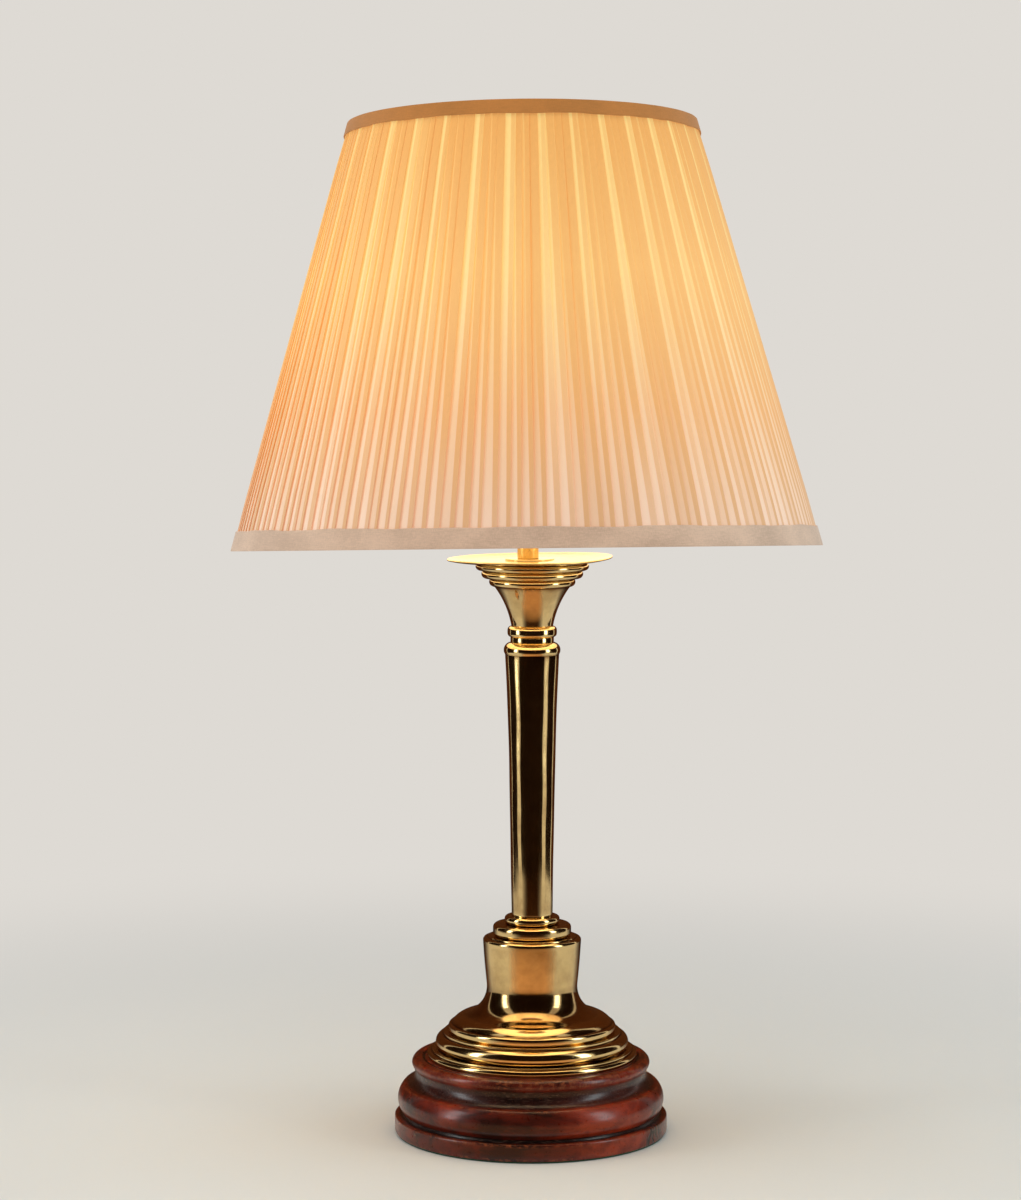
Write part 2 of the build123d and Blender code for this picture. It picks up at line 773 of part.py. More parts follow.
def carrier_wires():
    """Bent wires round the bulb, each cut off flat where it is welded to the seat and to the head."""
    seat_top = carrier_level + carrier_plate + weld_gap
    below = ring(0, 2 * carrier_reach, carrier_level - carrier_reach, seat_top)
    above = head_on_rod * ring(0, 2 * carrier_reach, -carrier_plate - weld_gap, carrier_reach)
    wires = []
    for k in range(carrier_legs):
        angle = radians(carrier_first_leg + 360 * k / carrier_legs)
        out = Vector(cos(angle), sin(angle), 0)
        root = out * (clamp_ring_radius + carrier_rim / 2) + Vector(0, 0, carrier_level)
        crook = out * carrier_reach + Vector(0, 0, carrier_level + carrier_crook)
        knee = head_on_rod * Pos(*(out * carrier_reach - Vector(0, 0, carrier_plate + carrier_crook)))
        top = head_on_rod * Pos(*(out * (head_radius - carrier_inset)))
        points = [root, crook, knee.position, top.position]
        wire = bent_wire(points, [carrier_bend, carrier_bend], carrier_wire)
        wires.append(wire - below - above)
    return wires


# ---------------------------------------------------------------- gimbal, in the head's frame
def gimbal_tab(face):
    """Upright tab of the gimbal at x = face, with its pivot hole."""
    half = gimbal_tab_width / 2
    near, far = face - gimbal_plate / 2, face + gimbal_plate / 2
    tab = Box(gimbal_plate, gimbal_tab_width, pivot_height - gimbal_plate / 2,
              align=(Align.CENTER, Align.CENTER, Align.MIN))
    tab = Pos(face, 0, gimbal_plate / 2) * tab
    return (tab + Pos(0, 0, pivot_height) * lying(half, near, far)
            - Pos(0, 0, pivot_height) * lying(pin_radius + run_gap, near - gimbal_plate, far + gimbal_plate))


def gimbal_fitting():
    plate = ring(spigot_radius + run_gap, gimbal_ring_radius, 0, gimbal_plate)
    ear = Box(2 * gimbal_face() + gimbal_plate, gimbal_tab_width, gimbal_plate,
              align=(Align.CENTER, Align.CENTER, Align.MIN))
    plate += ear - Cylinder(gimbal_ring_radius - ear_overlap, 4 * gimbal_plate)
    return head_place * (plate + gimbal_tab(gimbal_face()) + gimbal_tab(-gimbal_face()))


def gimbal_face():
    """How far from the axis the middle of a gimbal tab stands."""
    return gimbal_ring_radius + gimbal_plate


def head_nut():
    low = gimbal_plate
    body = ring(spigot_radius + run_gap, head_nut_radius, low, low + head_nut_height)
    rib = Pos(head_nut_radius, 0, low) * Cylinder(rib_radius, 3 * head_nut_height)
    for notch in turned_copies(rib, clamp_ring_ribs):
        body -= notch
    return head_place * body


# ---------------------------------------------------------------- shade, in the pivots' frame
def cone_radius(level, inset):
    """Radius of the shade's cone at a level above its bottom edge, set in from the outside."""
    slope = (shade_top_radius - shade_bottom_radius) / shade_height
    return shade_bottom_radius + slope * level - inset


cover_outset = trim_thickness + cloth_gap
cover_inset = cover_outset + pleat_depth + pleat_base
wire_inset = cover_inset + cloth_gap + frame_wire
lining_inset = wire_inset + frame_wire + cloth_gap
leg_inset = lining_inset + lining_thickness + cloth_gap
cloth_low = trim_thickness + cloth_gap
cloth_high = shade_height - cloth_low


def cone_shell(low, high, inset, thickness):
    """Conical shell between two levels, its outer face set in from the shade's outside."""
    return Pos(0, 0, shade_low) * turned(
        (cone_radius(low, inset), low), (cone_radius(high, inset), high),
        (cone_radius(high, inset + thickness), high), (cone_radius(low, inset + thickness), low))


def pleat_outline(level):
    """Knife pleats round the cone: out at each fold, then sloping in to the next."""
    points = []
    for k in range(pleat_count):
        fold, dip = 2 * pi * k / pleat_count, 2 * pi * (k + pleat_share) / pleat_count
        high, low = cone_radius(level, cover_outset), cone_radius(level, cover_outset + pleat_depth)
        points += [(high * cos(fold), high * sin(fold)), (low * cos(dip), low * sin(dip))]
    return Pos(0, 0, level) * make_face(Polyline(*points, close=True))


def inner_outline(level):
    """Flat-sided inner face of the pleated cover, one side for each pleat."""
    radius = cone_radius(level, cover_inset)
    turns = [2 * pi * k / pleat_count for k in range(pleat_count)]
    corners = [(radius * cos(turn), radius * sin(turn)) for turn in turns]
    return Pos(0, 0, level) * make_face(Polyline(*corners, close=True))


def shade_cover():
    """Pleated cone with a flat-sided hollow, which runs on past both of its ends."""
    low, high = cloth_low - cloth_low / 2, cloth_high + cloth_low / 2
    pleated = loft([pleat_outline(cloth_low), pleat_outline(cloth_high)], ruled=True)
    hollow = loft([inner_outline(low), inner_outline(high)], ruled=True)
    return shade_place * Pos(0, 0, shade_low) * (pleated - hollow)


def shade_lining():
    lining = cone_shell(cloth_low, cloth_high, lining_inset, lining_thickness)
    return shade_place * (lining - arm_slots())


def trim(low, high, edge_low):
    """Binding over an edge of the shade: outer leg, edge, and short inner leg."""
    t = trim_thickness
    inner_low, inner_high = (0, trim_inner_leg) if edge_low else (shade_height - trim_inner_leg, shade_height)
    cap_low, cap_high = (0, t) if edge_low else (shade_height - t, shade_height)
    outer = cone_shell(low, high, 0, t)
    inner = cone_shell(inner_low, inner_high, leg_inset, t)
    edge = cone_shell(cap_low, cap_high, 0, leg_inset + t)
    return outer + inner + edge


def bottom_trim():
    return shade_place * trim(0, bottom_trim_height, True)


def top_trim():
    return shade_place * (trim(shade_height - top_trim_height, shade_height, False) - arm_slots())


def ring_level(top):
    """Height of a frame ring's wire, close inside the shade's edge."""
    rise = cloth_low + frame_wire
    return shade_low + (shade_height - rise if top else rise)


def frame_ring(top, wire=frame_wire):
    """Wire ring inside an edge of the shade."""
    level = ring_level(top)
    radius = cone_radius(level - shade_low, wire_inset)
    return revolve(Pos(radius, 0, level) * Rot(90, 0, 0) * Circle(wire), Axis.Z)


def shade_struts():
    """Straight wires from ring to ring, cut off at the rings where they are welded."""
    low, high = ring_level(False), ring_level(True)
    start = Vector(cone_radius(low - shade_low, wire_inset), 0, low)
    end = Vector(cone_radius(high - shade_low, wire_inset), 0, high)
    weld = frame_wire + weld_gap
    strut = rod_along(Line(start, end), strut_wire) - frame_ring(False, weld) - frame_ring(True, weld)
    return [shade_place * copy for copy in turned_copies(strut, frame_struts, first_strut)]


def gimbal_arms():
    """The two arms that carry the top ring, each welded to it at its outer end."""
    arm = gimbal_arm() - frame_ring(True, frame_wire + weld_gap)
    return [shade_place * copy for copy in turned_copies(arm, 2)]


def arm_face():
    """Inner face of an arm's tab, just outside the gimbal's tab."""
    return gimbal_face() + gimbal_plate / 2 + run_gap


def gimbal_arm():
    """Flat arm from a pivot out to the top ring."""
    high = ring_level(True)
    face, out = arm_face(), cone_radius(high - shade_low, wire_inset)
    t = arm_thickness
    profile = Polyline((face, -arm_drop), (face + t, -arm_drop), (face + t, arm_drop),
                       (out, high - t / 2), (out, high + t / 2), (face, arm_drop + t), close=True)
    arm = Pos(0, arm_width / 2, 0) * extrude(make_face(Plane.XZ * profile), arm_width)
    return arm - lying(pin_radius + seat_gap, face - t, face + 2 * t)


def arm_slots():
    """Space that the arms take where they pass through the lining and the trim."""
    high = ring_level(True)
    reach = cone_radius(high - shade_low, wire_inset)
    slot = Pos(reach, 0, high) * Box(slot_reach, arm_width + 2 * free_gap, slot_height,
                                     align=(Align.MAX, Align.CENTER, Align.CENTER))
    both = turned_copies(slot, 2)
    return both[0] + both[1]


def pivot_pins():
    """Headed pins fixed in the arms that turn in the gimbal's tabs."""
    inner = gimbal_face() - gimbal_plate / 2 - free_gap
    outer = arm_face() + arm_thickness
    pin = lying(pin_radius, inner, outer)
    pin += lying(pin_head_radius, outer, outer + pin_head_height)
    pin += lying(pin_head_radius, inner - pin_head_height, inner)
    return [shade_place * copy for copy in turned_copies(pin, 2)]


# ---------------------------------------------------------------- every node
nodes = {
    "base_felt": base_felt(),
    "wood_base": wood_base(),
    "cord_inlet_bushing": cord_inlet_bushing(),
    "rod_washer": rod_washer(),
    "earth_tag": earth_tag(),
    "rod_nut": rod_nut(),
    "threaded_rod": on_rod(threaded_rod()),
    "terminal_block": terminal_block(),
    "terminal_screws": terminal_screws(),
    "live_wire": inner_wire(1),
    "neutral_wire": inner_wire(-1),
    "earth_wire": earth_wire(),
    "foot_flange": foot_flange(),
    "foot_bell": foot_bell(),
    "foot_collar": foot_collar(),
    "stem": stem(),
    "neck_collar": neck_collar(),
    "cup": cup(),
    "drip_pan": drip_pan(),
    "spacer_tube": on_rod(spacer_tube()),
    "holder_cap": on_rod(holder_cap()),
    "holder_core": on_rod(holder_core()),
    "holder_terminals": on_rod(holder_terminals()),
    "centre_contact": on_rod(centre_contact()),
    "screw_liner": on_rod(screw_liner()),
    "holder_sleeve": on_rod(holder_sleeve()),
    "holder_skirt": on_rod(holder_skirt()),
    "lower_clamp_ring": on_rod(clamp_ring(carrier_level - clamp_ring_height)),
    "upper_clamp_ring": on_rod(clamp_ring(carrier_level + carrier_plate)),
    "switch_bar": on_rod(switch_bar()),
    "carrier_seat": on_rod(carrier_seat()),
    "carrier_wires": on_rod(carrier_wires()),
    "carrier_head": carrier_head(),
    "bulb_glass": on_rod(bulb_glass()),
    "bulb_cap": on_rod(bulb_cap()),
    "bulb_insulator": on_rod(bulb_insulator()),
    "bulb_contact": on_rod(bulb_contact()),
    "bulb_stem": on_rod(bulb_stem()),
    "filament": on_rod(filament()),
    "gimbal_fitting": gimbal_fitting(),
    "head_nut": head_nut(),
    "pivot_pins": pivot_pins(),
    "shade_top_ring": shade_place * frame_ring(True),
    "shade_bottom_ring": shade_place * frame_ring(False),
    "shade_struts": shade_struts(),
    "gimbal_arms": gimbal_arms(),
    "shade_lining": shade_lining(),
    "shade_cover": shade_cover(),
    "bottom_trim": bottom_trim(),
    "top_trim": top_trim(),
}

os.makedirs("parts", exist_ok=True)
for name, shape in nodes.items():
    if isinstance(shape, list):
        shape = Compound(children=shape)
    export_step(shape, f"parts/{name}.step")
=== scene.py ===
"""Looks of a candlestick table lamp: turned mahogany, aged brass and a lit, pleated silk shade."""

import json
import math

import bpy
import numpy as np
from bpy.props import FloatProperty, FloatVectorProperty, IntProperty, PointerProperty
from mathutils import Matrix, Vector


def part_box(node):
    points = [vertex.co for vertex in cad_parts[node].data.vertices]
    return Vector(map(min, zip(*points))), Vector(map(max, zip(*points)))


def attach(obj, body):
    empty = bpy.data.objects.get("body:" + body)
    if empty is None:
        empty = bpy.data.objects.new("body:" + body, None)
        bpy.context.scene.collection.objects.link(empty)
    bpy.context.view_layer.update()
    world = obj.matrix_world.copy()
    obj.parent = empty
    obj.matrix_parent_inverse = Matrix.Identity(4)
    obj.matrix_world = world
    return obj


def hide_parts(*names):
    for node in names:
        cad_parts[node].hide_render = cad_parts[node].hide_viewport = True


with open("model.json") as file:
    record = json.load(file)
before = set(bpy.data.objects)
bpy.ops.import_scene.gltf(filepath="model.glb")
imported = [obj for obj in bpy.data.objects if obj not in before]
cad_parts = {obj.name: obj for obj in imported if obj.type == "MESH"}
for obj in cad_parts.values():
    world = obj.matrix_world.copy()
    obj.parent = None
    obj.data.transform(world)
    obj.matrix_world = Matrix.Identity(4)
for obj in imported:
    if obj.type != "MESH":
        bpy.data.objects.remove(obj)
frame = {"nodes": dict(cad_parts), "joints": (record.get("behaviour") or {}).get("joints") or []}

bl_info = {
    "name": "Candlestick Lamp",
    "version": (1, 0, 0),
    "blender": (4, 5, 0),
    "location": "View3D > Sidebar > Lamp",
    "description": "Builds the surfaces, materials and stage of a candlestick table lamp",
    "category": "Add Mesh",
}

MM = 0.001
FINE = 0.1 * MM             # spacing of the points that an outline is worked out on
NODES = frame["nodes"]
JOINTS = {joint["name"]: joint for joint in frame["joints"]}
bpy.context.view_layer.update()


# ---------------------------------------------------------------- small tools
def linear(code):
    """Linear RGBA of an sRGB hex value such as #C8A050."""
    parts = np.array([int(code[k:k + 2], 16) for k in (1, 3, 5)]) / 255
    value = np.where(parts <= 0.04045, parts / 12.92, ((parts + 0.055) / 1.055) ** 2.4)
    return (*value.tolist(), 1.0)


def size(note, millimetres):
    """A length property, whose default is given in millimetres."""
    return FloatProperty(description=note, default=millimetres * MM, unit="LENGTH", precision=5)


def share(note, value):
    """A plain factor between 0 and 1."""
    return FloatProperty(description=note, default=value, min=0, max=1, subtype="FACTOR")


def colour(note, code):
    """A colour property, whose default is an sRGB hex value."""
    return FloatVectorProperty(description=note, default=linear(code)[:3], subtype="COLOR", min=0, max=1)


def named(group):
    """Names each property of a group after its attribute: disc_radius becomes Disc radius."""
    for attribute, made in group.__annotations__.items():
        made.keywords["name"] = attribute.replace("_", " ").capitalize()
    return group


def points_of(node):
    """Vertices of a CAD node as an array of rows."""
    flat = np.zeros(len(NODES[node].data.vertices) * 3, np.float32)
    NODES[node].data.vertices.foreach_get("co", flat)
    return flat.reshape(-1, 3).astype(float)


def polar(radius, angle, height):
    """Points (r cos a, r sin a, z)."""
    return np.stack([radius * np.cos(angle), radius * np.sin(angle), height + 0 * angle], axis=-1)


def joined(name, content):
    """A new object of a mesh, lamp or camera, in the scene."""
    made = bpy.data.objects.new(name, content)
    bpy.context.scene.collection.objects.link(made)
    return made


class Line:
    """An axis of the lamp: a point on it and its upward direction."""

    def __init__(self, point, direction):
        self.point = np.array(point, float)
        self.direction = np.array(direction, float) / np.linalg.norm(direction)

    def heights(self, points):
        """How far up the axis each point lies, from the axis's own point."""
        return (points - self.point) @ self.direction

    def radii(self, points):
        """How far off the axis each point lies."""
        return np.linalg.norm(points - self.point - self.heights(points)[:, None] * self.direction, axis=1)

    def reach(self, node):
        """Lowest height, highest height and widest radius of a node about the axis."""
        points = points_of(node)
        heights = self.heights(points)
        return heights.min(), heights.max(), self.radii(points).max()

    def placed(self, points):
        """Points given about an upright axis, moved on to this one."""
        turn = Vector((0, 0, 1)).rotation_difference(Vector(self.direction))
        return points @ np.array(turn.to_matrix()).T + self.point


def joint_line(name):
    """Axis of a turning joint of the frame."""
    return Line(JOINTS[name]["pos_m"], JOINTS[name]["axis"])


def shade_line():
    """Axis of the shade, through the middles of its two wire rings, from its bottom ring up."""
    low, high = (points_of(node) for node in ("shade_bottom_ring", "shade_top_ring"))
    middle = (low.min(0) + low.max(0)) / 2, (high.min(0) + high.max(0)) / 2
    return Line(middle[0], middle[1] - middle[0])


# ---------------------------------------------------------------- turned outlines
def arc(start, via, end):
    """Points of the circle through three points, from the first to the last.
    The centre is a + (b-a)(w-|w|^2) / 2i Im w with w = (c-a)/(b-a), in complex numbers."""
    a, b, c = (complex(*point) for point in (start, via, end))
    w = (c - a) / (b - a)
    centre = a - (a - b) * (w - abs(w) ** 2) / (2j * w.imag)
    sweep, middle = (np.angle((p - centre) / (a - centre)) % (2 * np.pi) for p in (c, b))
    sweep -= 2 * np.pi * (middle > sweep)
    count = max(4, int(abs(sweep * (a - centre)) / (4 * FINE)))
    line = centre + (a - centre) * np.exp(1j * sweep * np.linspace(0, 1, count + 1)[1:])
    return list(line)


def outline(start, *steps):
    """Closed outline of a turned piece as complex points r + iz. A step is a point (r, z) for a straight run,
    or a pair of points for an arc through the first to the second."""
    line, here = [complex(*start)], start
    for step in steps:
        if isinstance(step[0], tuple):
            line += arc(here, *step)
            here = step[1]
        else:
            line.append(complex(*step))
            here = step
    return np.array(line)


def evenly(line):
    """Points a fine step apart along a closed line."""
    closed = np.append(line, line[0])
    length = np.append(0, np.cumsum(np.abs(np.diff(closed))))
    marks = np.linspace(0, length[-1], int(length[-1] / FINE), endpoint=False)
    return np.interp(marks, length, closed.real) + 1j * np.interp(marks, length, closed.imag)


def blurred(line, spread):
    """A closed line averaged along itself with a bell curve of that spread: each of its
    Fourier terms shrinks by exp(-2 (pi spread f)^2)."""
    turns = np.fft.fftfreq(len(line), FINE)
    return np.fft.ifft(np.fft.fft(line) * np.exp(-2 * (np.pi * turns * spread) ** 2))


def softened(line, soft, step=1.8 * MM, bend=math.radians(8), crevice=1.2 * MM):
    """An outline with its corners worn round, as rows for turning, and its edge value.
    A row is set after each step of length or bend of direction, whichever comes first.
    The edge value is how far the outline stands out of its own blur: 1 on a sharp edge, -1 in a crevice."""
    line = evenly(line)
    if (line.real * np.roll(line.imag, -1) - np.roll(line.real, -1) * line.imag).sum() < 0:
        line = line[::-1]
    worn = blurred(line, soft)
    ahead = np.roll(worn, -1) - worn
    outward = -1j * ahead / np.abs(ahead)
    edge = ((worn - blurred(worn, crevice)) * outward.conj()).real / (crevice / 6)
    turn = np.abs(np.angle(np.roll(ahead, -1) / ahead))
    measure = np.append(0, np.cumsum(np.abs(ahead) / step + turn / bend))
    marks = np.linspace(0, measure[-1], int(measure[-1]), endpoint=False)
    position = np.interp(marks, measure, np.arange(len(measure)))
    pick = [np.interp(position, np.arange(len(worn) + 1), np.append(part, part[0]))
            for part in (worn.real, worn.imag, np.clip(edge, -1, 1))]
    return pick[0] + 1j * pick[1], pick[2]


def surface(name, points, material, body, attributes=(), close_rows=True, node=()):
    """Mesh of a grid of points (rows, columns, 3) whose columns close round the piece.
    Face (i, j) joins the points (i, j), (i, j+1), (i+1, j+1) and (i+1, j), so it faces outwards
    where the rows run anticlockwise round the piece's section."""
    rows, columns = points.shape[:2]
    index = np.arange(rows * columns).reshape(rows, columns)
    near = index if close_rows else index[:-1]
    far = np.roll(index, -1, axis=0) if close_rows else index[1:]
    faces = np.stack([near, np.roll(near, -1, axis=1), np.roll(far, -1, axis=1), far], axis=-1).reshape(-1, 4)
    mesh = bpy.data.meshes.new(name)
    mesh.vertices.add(rows * columns)
    mesh.vertices.foreach_set("co", points.astype(np.float32).ravel())
    mesh.loops.add(faces.size)
    mesh.loops.foreach_set("vertex_index", faces.astype(np.int32).ravel())
    mesh.polygons.add(len(faces))
    mesh.polygons.foreach_set("loop_start", np.arange(0, faces.size, 4, dtype=np.int32))
    mesh.polygons.foreach_set("use_smooth", np.ones(len(faces), bool))
    for title, values in attributes:
        layer = mesh.attributes.new(title, "FLOAT", "POINT")
        layer.data.foreach_set("value", np.broadcast_to(values, (rows, columns)).astype(np.float32).ravel())
    mesh.update(calc_edges=True)
    mesh.materials.append(material)
    piece = joined(name, mesh)
    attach(piece, body)
    if node:
        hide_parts(*node)
    return piece


# a turned piece is out of true by these waves: share, count round the piece, turn per metre of height, start
WAVES = [(1.0, 2, 31, 0.0), (0.7, 3, -57, 1.3), (0.5, 5, 143, 2.1)]


def turned(name, line, soft, axis, material, node, segments=168, dent=0.03 * MM,
           change=None):
    """Piece turned about an axis: (r, z) goes to (r cos a, r sin a, z).
    Its radius is out of true by dent times a few slow waves of the angle and the height."""
    rows, edge = softened(line, soft)
    angle = 2 * np.pi * np.arange(segments) / segments
    radius, height = rows.real[:, None], rows.imag[:, None]
    radius = radius + dent * sum(part * np.sin(times * angle + twist * height + start)
                                 for part, times, twist, start in WAVES)
    points = polar(radius, angle, height)
    if change is not None:
        points = change(points)
    return surface(name, axis.placed(points), material, "stand", [("edge", edge[:, None])], node=node)


# ---------------------------------------------------------------- materials
def feed(tree, node, inputs):
    """Sets or links a node's inputs. A node among the values stands for its first output in use."""
    for name, value in inputs.items():
        if isinstance(value, bpy.types.Node):
            value = next(socket for socket in value.outputs if socket.enabled)
        if isinstance(value, bpy.types.NodeSocket):
            tree.links.new(value, node.inputs[name])
        else:
            node.inputs[name].default_value = value


def add(tree, kind, inputs=(), stops=(), **settings):
    """A shader node with its settings. Its inputs are given by name or place, or as a list in the node's
    own order: a map range takes value, from low, from high, to low, to high. Stops are a ramp's places
    and colours."""
    node = tree.nodes.new("ShaderNode" + kind)
    for name, value in settings.items():
        setattr(node, name, value)
    feed(tree, node, inputs if isinstance(inputs, dict) else dict(enumerate(inputs)))
    for place, value in stops[:-2]:
        node.color_ramp.elements.new(0.5)
    for index, (place, value) in enumerate(stops):
        element = node.color_ramp.elements[index]
        element.position, element.color = place, value
    return node


def begin(name):
    """A new material, its node tree and its Principled shader."""
    material = bpy.data.materials.new(name)
    material.use_nodes = True
    tree = material.node_tree
    return material, tree, tree.nodes["Principled BSDF"]


def finish(tree, shader, **inputs):
    """Sets or links the Principled shader's inputs, whose names are written with underscores."""
    feed(tree, shader, {name.replace("_", " "): value for name, value in inputs.items()})


def per(millimetres):
    """Scale of a pattern in Object coordinates whose features have that size."""
    return 1 / (millimetres * MM)


def rgba(value, dim=1.0):
    """A colour as four numbers, dimmed by a factor."""
    return (*(dim * part for part in value[:3]), 1.0)


def brass_material(name, bright, dark, patina_share, rough, stretch, pit_strength):
    """Cast and turned brass, buffed to a mirror long ago: bright on its edges, brown in its crevices,
    with cloudy patches of tarnish, a few pits, and fine scratches drawn out along the buffing."""
    material, tree, shader = begin(name)
    place = add(tree, "TexCoord").outputs["Object"]
    edge = add(tree, "Attribute", attribute_name="edge").outputs["Fac"]
    cloud = add(tree, "TexNoise", {"Vector": place, "Scale": per(22), "Detail": 6, "Roughness": 0.62})
    specks = add(tree, "TexNoise", {"Vector": place, "Scale": per(1.3), "Detail": 3, "Roughness": 0.7})
    drawn = add(tree, "Mapping", {"Vector": place, "Scale": stretch})
    scratch = add(tree, "TexNoise", {"Vector": drawn, "Scale": per(1), "Detail": 5, "Roughness": 0.6})
    worn = add(tree, "MapRange", [edge, -0.9, 0.9, 0.42, -0.42])
    tint = add(tree, "Math", [cloud, worn])
    tint = add(tree, "Math", [tint, patina_share - 0.5])
    middle = [(a + b) / 2 for a, b in zip(bright, dark)]
    base = add(tree, "ValToRGB", [tint], [(0.42, rgba(bright)), (0.66, rgba(middle)), (0.95, rgba(dark))])
    spots = add(tree, "MapRange", [specks, 0.68, 0.8, 0.0, 0.6])
    mixed = add(tree, "Mix", {0: spots, 6: base, 7: rgba(dark)}, data_type="RGBA")
    gloss = add(tree, "MapRange", [scratch, 0.3, 0.75, rough * 0.75, rough * 1.5])
    bump = add(tree, "Bump", {"Height": scratch, "Strength": 0.1, "Distance": 0.02 * MM})
    pits = add(tree, "Bump", {"Height": spots, "Strength": pit_strength, "Distance": 0.08 * MM,
                              "Normal": bump}, invert=True)
    finish(tree, shader, Base_Color=mixed, Metallic=1.0, Roughness=gloss, Normal=pits)
    return material


PAINTED_GLOW_PLACE = (0.045, -0.062, 0.016)   # centre of a painted glow patch, where the wood's figure is made redder
BITTEN_PLACE = (0.0695, -0.034, 0.004)  # the nicks in the disc's rim


def mahogany_material(name, tones):
    """Turned and french-polished mahogany: red-brown figure along the plank with short dark pores, a satin
    shellac coat rubbed thin on the edges, old polish crusted in the crevices, a few bites in the disc, and a
    painted glow patch where the figure is made redder."""
    material, tree, shader = begin(name)
    place = add(tree, "TexCoord").outputs["Object"]
    edge = add(tree, "Attribute", attribute_name="edge").outputs["Fac"]
    plank = add(tree, "Mapping", {"Vector": place, "Scale": (0.13, 1.0, 1.0)})
    figure = add(tree, "TexNoise", {"Vector": plank, "Scale": per(9), "Detail": 7, "Roughness": 0.6,
                                    "Distortion": 0.5})
    fibre = add(tree, "TexNoise", {"Vector": plank, "Scale": per(0.7), "Detail": 4, "Roughness": 0.65})
    cloud = add(tree, "TexNoise", {"Vector": place, "Scale": per(34), "Detail": 3})
    rub = add(tree, "TexNoise", {"Vector": place, "Scale": per(2.6), "Detail": 5, "Roughness": 0.7})

    # streaks of the figure, made redder about one place as a painted glow patch
    tone = add(tree, "Math", [figure, cloud])
    rubbed = add(tree, "VectorMath", [place, PAINTED_GLOW_PLACE], operation="DISTANCE")
    tone = add(tree, "Math", [tone, add(tree, "MapRange", [rubbed, 12 * MM, 40 * MM, 0.24, 0.0])])
    tone = add(tree, "Math", [tone, 0.5], operation="MULTIPLY")
    base = add(tree, "ValToRGB", [tone], [(0.42, rgba(tones.wood_dark)), (0.54, rgba(tones.wood)),
                                          (0.68, rgba(tones.wood_glow))])
    pores = add(tree, "MapRange", [fibre, 0.56, 0.7, 0.0, 0.7])
    base = add(tree, "Mix", {0: pores, 6: base, 7: rgba(tones.wood_pore)}, data_type="RGBA")

    # crumbs of old polish in the crevices, and bare wood on the edges
    crumb = add(tree, "MapRange", [fibre, 0.54, 0.62])
    crust = add(tree, "Mix", {0: crumb, 6: rgba(tones.wood_pore), 7: rgba(tones.wood_dust)}, data_type="RGBA")
    dirt = add(tree, "MapRange", [edge, -0.12, -0.6, 0.0, 0.95])
    base = add(tree, "Mix", {0: dirt, 6: base, 7: crust}, data_type="RGBA")
    bare = add(tree, "Math", [add(tree, "MapRange", [edge, 0.4, 1.0]),
                              add(tree, "MapRange", [rub, 0.48, 0.62])], operation="MULTIPLY")
    base = add(tree, "Mix", {0: bare, 6: base, 7: rgba(tones.wood_worn)}, data_type="RGBA")

    # a cluster of bites in the disc's rim
    bitten = add(tree, "VectorMath", [place, BITTEN_PLACE], operation="DISTANCE")
    bitten = add(tree, "MapRange", [bitten, 9 * MM, 14 * MM, 1.0, 0.0])
    upright = add(tree, "Mapping", {"Vector": place, "Scale": (1, 1, 0.4)})
    teeth = add(tree, "TexNoise", {"Vector": upright, "Scale": per(2), "Detail": 1})
    teeth = add(tree, "MapRange", [teeth, 0.49, 0.54])
    nicks = add(tree, "Math", [bitten, teeth], operation="MULTIPLY")
    base = add(tree, "Mix", {0: nicks, 6: base, 7: rgba(tones.wood_pore)}, data_type="RGBA")

    gloss = add(tree, "MapRange", [rub, 0.3, 0.7, 0.24, 0.42])
    bump = add(tree, "Bump", {"Height": fibre, "Strength": 0.3, "Distance": 0.1 * MM})
    bites = add(tree, "Bump", {"Height": nicks, "Strength": 0.8, "Distance": 0.5 * MM, "Normal": bump},
                invert=True)
    finish(tree, shader, Base_Color=base, Roughness=gloss, Specular_IOR_Level=0.2, Coat_Weight=0.5,
           Coat_Roughness=0.2, Normal=bites)
    return material


GLOW_HEIGHTS = (0.0, 0.3, 0.62, 1.0)    # shares of the shade's height that its glow is given at


def silk_material(name, tones):
    """Pleated pongee silk over a lit bulb: cream cloth that the light comes through, shown as a painted glow.
    One layer glows pale yellow and three layers at a fold glow orange, and the cloth's own colour is painted
    warmer towards the top to stand in for that light."""
    material, tree, shader = begin(name)
    place = add(tree, "TexCoord").outputs["Object"]
    height, layers = (add(tree, "Attribute", attribute_name=title).outputs["Fac"]
                      for title in ("height", "layers"))
    upright = add(tree, "Mapping", {"Vector": place, "Scale": (1, 1, 0.06)})
    slub = add(tree, "TexNoise", {"Vector": upright, "Scale": per(1.2), "Detail": 3, "Roughness": 0.6})
    single = [tones.glow_low, tones.glow_mid, tones.glow_high, tones.glow_top]
    triple = [tones.fold_low, tones.fold_mid, tones.fold_high, tones.fold_top]
    single, triple = (add(tree, "ValToRGB", [height], list(zip(GLOW_HEIGHTS, map(rgba, glows))))
                      for glows in (single, triple))
    through = add(tree, "Mix", {0: layers, 6: single, 7: triple}, data_type="RGBA")
    mottle = add(tree, "MapRange", [slub, 0.3, 0.7, 0.94, 1.05])
    # painted light: the cloth's colour runs from pale at the bottom to warm at the top, standing in for the
    # bulb's light through it
    cloth = add(tree, "ValToRGB", [height], [(0.0, rgba(tones.silk_low)), (0.55, rgba(tones.silk)),
                                             (1.0, rgba(tones.silk_top_painted_glow))])
    shade = add(tree, "Mix", {0: layers, 6: cloth, 7: rgba(tones.fold_shade)}, data_type="RGBA",
                blend_type="MULTIPLY")
    bump = add(tree, "Bump", {"Height": slub, "Strength": 0.12, "Distance": 0.1 * MM})
    finish(tree, shader, Base_Color=shade, Roughness=0.72, Specular_IOR_Level=0.25, Sheen_Weight=0.12,
           Sheen_Roughness=0.4, Emission_Color=through, Emission_Strength=mottle, Normal=bump)
    return material


